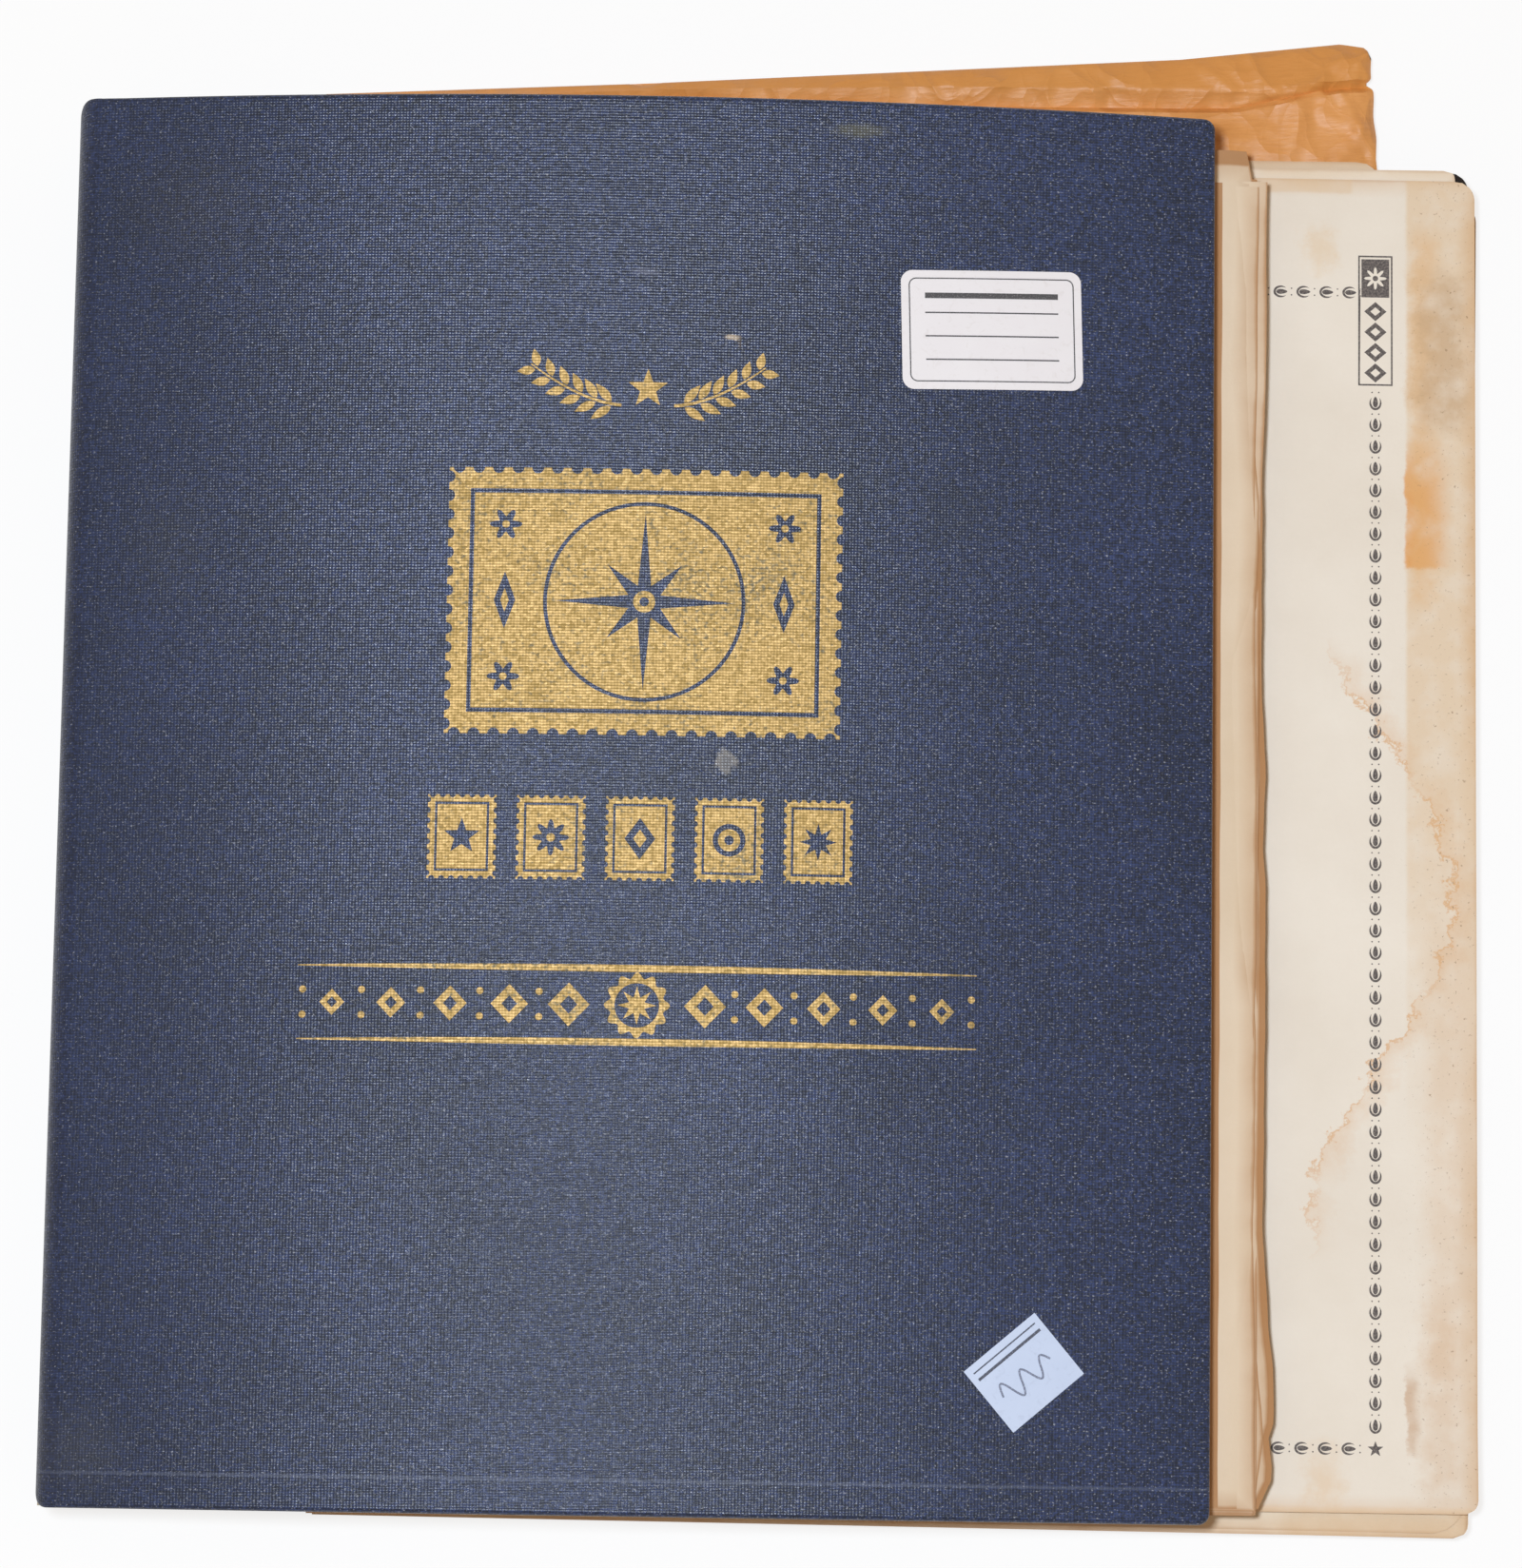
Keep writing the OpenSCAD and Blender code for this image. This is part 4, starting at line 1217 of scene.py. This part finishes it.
def gold_foil(name):
    """Stamped foil: a thin bright metal film, dulled to olive and rubbed through along the threads."""
    made, tree, shader = finish_of(name, Metallic=1.0)
    place = flat_places(tree)
    weave = cloth_weave(tree, place)
    fine = node(tree, "VectorMath", {0: place, 1: (1.35, 1.75, 1)}, operation="MULTIPLY")
    fleck = node(tree, "TexVoronoi", {"Vector": fine, "Scale": 1.0, "Randomness": 0.6}, out=1)
    bright = node(tree, "Mix", {0: 0.45, 2: fleck, 3: weave}, data_type="FLOAT")
    bright = node(tree, "MapRange", {"Value": bright, "From Min": 0.2, "From Max": 0.85})
    tones = {6: linear("#846C3E"), 7: linear("#B39565")}
    tone = node(tree, "Mix", {0: bright, **tones}, data_type="RGBA", out=2)
    rub = node(tree, "TexNoise", {"Vector": place, "Scale": 0.05, "Detail": 4.0})
    rub = {"Value": rub, "From Min": 0.3, "From Max": 0.75, "To Min": 0.1, "To Max": 0.36}
    rub = node(tree, "MapRange", rub)
    thin = node(tree, "TexNoise", {"Vector": fine, "Scale": 0.7, "Detail": 2.0})
    worn = node(tree, "Math", {0: thin, 1: rub}, operation="ADD")
    worn = node(tree, "MapRange", {"Value": worn, "From Min": 0.76, "From Max": 0.98, "To Max": 0.8})
    colour = node(tree, "Mix", {0: worn, 6: tone, 7: linear("#4F5048")}, data_type="RGBA", out=2)
    tree.links.new(colour, shader.inputs["Base Color"])
    rough = node(tree, "MapRange", {"Value": bright, "To Min": 0.66, "To Max": 0.52})
    tree.links.new(rough, shader.inputs["Roughness"])
    bump = node(tree, "Bump", {"Height": weave, "Strength": 0.6, "Distance": 0.0001})
    tree.links.new(bump, shader.inputs["Normal"])
    return made


design = [star(5, 4.3, 1.75) + (foil_middle, sprig_y)]
design += laurel(foil_middle, sprig_y, -1) + laurel(foil_middle, sprig_y, 1)
design += large_stamp(foil_middle, stamp_y) + small_stamps(foil_middle, row_y)
design += ornament_band(foil_middle, band_y)
blocking = flat_print("gold_blocking", design, on_cover, gold_foil("gold blocking foil"))
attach(blocking, "front_cover")

# ---------------------------------------------------------------------------
# Labels. A white paper label with round corners and a small blue price
# sticker are stuck on the front cover. Both were filled in by hand or by a
# small printer; here they have a border, ruled lines and a pencil stroke.

label_place = (175.2, 234.4, 1.7)
label_size = (38.1, 25.4)
sticker_place = (202.5, 30.4, 40.3)
label_t = 0.15
label_lift = 0.06


def on_label(place):
    """Gives points on the cover from places on a label that lies turned on it."""
    x0, y0, turn = place
    c, s = math.cos(math.radians(turn)), math.sin(math.radians(turn))
    return lambda u, v: on_cover(x0 + u * c - v * s, y0 + u * s + v * c, label_t + label_lift)


def rounded_frame(width, height, inset, radius, line):
    """The two outlines of a ruled frame with round corners."""
    shapes = []
    for d in (inset, inset + line):
        r = radius - d + inset
        left, right, low, high = d + r, width - d - r, d + r, height - d - r
        arcs = []
        for x, y, start in ((right, low, -90), (right, high, 0), (left, high, 90), (left, low, 180)):
            a = np.linspace(math.radians(start), math.radians(start + 90), 7)
            arcs.append(np.stack([x + r * np.cos(a), y + r * np.sin(a)], -1))
        shapes.append(np.concatenate(arcs))
    return shapes


def label_stock(name, tones, roughness):
    """Coated label paper, slightly yellowed and rubbed, with a faint gloss."""
    made, tree, shader = finish_of(name, Roughness=roughness)
    place = own_places(tree)
    cloud = node(tree, "TexNoise", {"Vector": place, "Scale": 0.12, "Detail": 6.0})
    smear = node(tree, "TexNoise", {"Vector": place, "Scale": 0.5, "Detail": 4.0, "Distortion": 1.5})
    tone = node(tree, "Mix", {0: cloud, 6: linear(tones[0]), 7: linear(tones[1])}, data_type="RGBA", out=2)
    dirt = node(tree, "MapRange", {"Value": smear, "From Min": 0.56, "From Max": 0.75, "To Max": 0.3})
    colour = node(tree, "Mix", {0: dirt, 6: tone, 7: linear(tones[2])}, data_type="RGBA", out=2)
    tree.links.new(colour, shader.inputs["Base Color"])
    return made


def label_ink(name, tone, thin_tone):
    """Thin black printing or pencil, paler where it skips."""
    made, tree, shader = finish_of(name, Roughness=0.6)
    skip = node(tree, "TexNoise", {"Vector": flat_places(tree), "Scale": 3.0, "Detail": 2.0})
    skip = node(tree, "MapRange", {"Value": skip, "From Min": 0.5, "From Max": 0.72})
    colour = node(tree, "Mix", {0: skip, 6: linear(tone), 7: linear(thin_tone)}, data_type="RGBA", out=2)
    tree.links.new(colour, shader.inputs["Base Color"])
    return made


dress("cover_label", label_stock("white label paper", ("#E3DEE0", "#E9E6E7", "#CFC8C4"), 0.5))
dress("cover_sticker", label_stock("blue sticker paper", ("#BCC9E2", "#C9D5EC", "#9FA9C0"), 0.6))
label_w, label_h = label_size
rules = rounded_frame(label_w, label_h, 1.6, 1.6, 0.25)
rules += [rectangle(5, label_w - 5, y, y + 0.3) for y in (6.2, 11.2, 16.2)]
rules += [rectangle(5, label_w - 5, 19.4, 20.6)]
label_print = label_ink("label printing ink", "#3A3738", "#6E6A6A")
printing = flat_print("label_rules", rules, on_label(label_place), label_print)
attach(printing, "front_cover")

rules = [rectangle(-8.2, 8.2, 4.4, 5.0), rectangle(-8.2, 8.2, 6.2, 6.5)]
sticker_print = label_ink("sticker printing ink", "#3C3F4C", "#70758A")
printing = flat_print("sticker_rules", rules, on_label(sticker_place), sticker_print)
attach(printing, "front_cover")

# a pencil zigzag that gets lower to the right
t = np.linspace(0, 1, 60)
stroke = np.stack([-6.5 + 12.5 * t, -1.2 + 2.6 * np.sin(5 * math.pi * t) * (1 - 0.3 * t)], -1)
graphite = label_ink("pencil", "#6E7488", "#A7B0C8")
pencil = flat_print("pencil_stroke", [ribbon(stroke, 0.22)], on_label(sticker_place), graphite)
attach(pencil, "front_cover")

# ---------------------------------------------------------------------------
# Camera, floor and light. The album lies on a white table, under one small
# cool lamp and a warm fill from all round, and is seen from straight above.

camera = bpy.data.objects.new("camera", bpy.data.cameras.new("camera"))
bpy.context.scene.collection.objects.link(camera)
bpy.context.scene.camera = camera
camera.data.lens = 121.37
camera.data.sensor_width = 36
camera.data.sensor_fit = "AUTO"
camera.location = spot(137.5, 6.3, 1128.0)
camera.rotation_euler = [math.radians(a) for a in (7.571, -0.609, 0.874)]
bpy.context.scene.view_settings.view_transform = "Standard"


def seen_rays(tree):
    """1 for the rays that show the backdrop: to the camera, in a gloss and through glass."""
    rays = node(tree, "LightPath", {}).node
    seen = rays.outputs["Is Camera Ray"]
    for kind in ("Is Glossy Ray", "Is Transmission Ray"):
        seen = node(tree, "Math", {0: seen, 1: rays.outputs[kind]}, operation="MAXIMUM")
    return seen


white = bpy.data.materials.new("pale floor")
white.use_nodes = True
tree = white.node_tree
tree.nodes.clear()
floor_shader = node(tree, "BsdfDiffuse", {"Color": linear("#F8F8F8")})
glow = node(tree, "Emission", {"Color": linear("#FFFFFF"), "Strength": 1.0})
seen = seen_rays(tree)
both = node(tree, "MixShader", {0: 0.8, 1: floor_shader, 2: glow})
plain = node(tree, "MixShader", {0: seen, 1: floor_shader, 2: both})
node(tree, "OutputMaterial", {"Surface": plain})
bpy.ops.mesh.primitive_plane_add(size=60, location=(0, 0, -0.0002))
floor = bpy.context.object
floor.name = "floor"
floor.data.materials.append(white)

lamp = bpy.data.lights.new("lamp", "AREA")
lamp.shape = "DISK"
lamp.size = 0.09
lamp.energy = 10.9
lamp.color = linear("#E6F2FF")[:3]
lamp_object = bpy.data.objects.new("lamp", lamp)
bpy.context.scene.collection.objects.link(lamp_object)
lamp_object.location = spot(50.0, 60.0, 1150.0)
aim = Vector(spot(140.0, 148.0, 20.0)) - lamp_object.location
lamp_object.rotation_euler = aim.to_track_quat("-Z", "Y").to_euler()

world = bpy.data.worlds.new("studio")
bpy.context.scene.world = world
world.use_nodes = True
tree = world.node_tree
tree.nodes.clear()
fill = node(tree, "Background", {"Color": linear("#FFE1BD"), "Strength": 0.36})
backdrop = node(tree, "Background", {"Color": linear("#FFFFFF"), "Strength": 1.0})
mixed = node(tree, "MixShader", {0: seen_rays(tree), 1: fill, 2: backdrop})
node(tree, "OutputWorld", {"Surface": mixed})
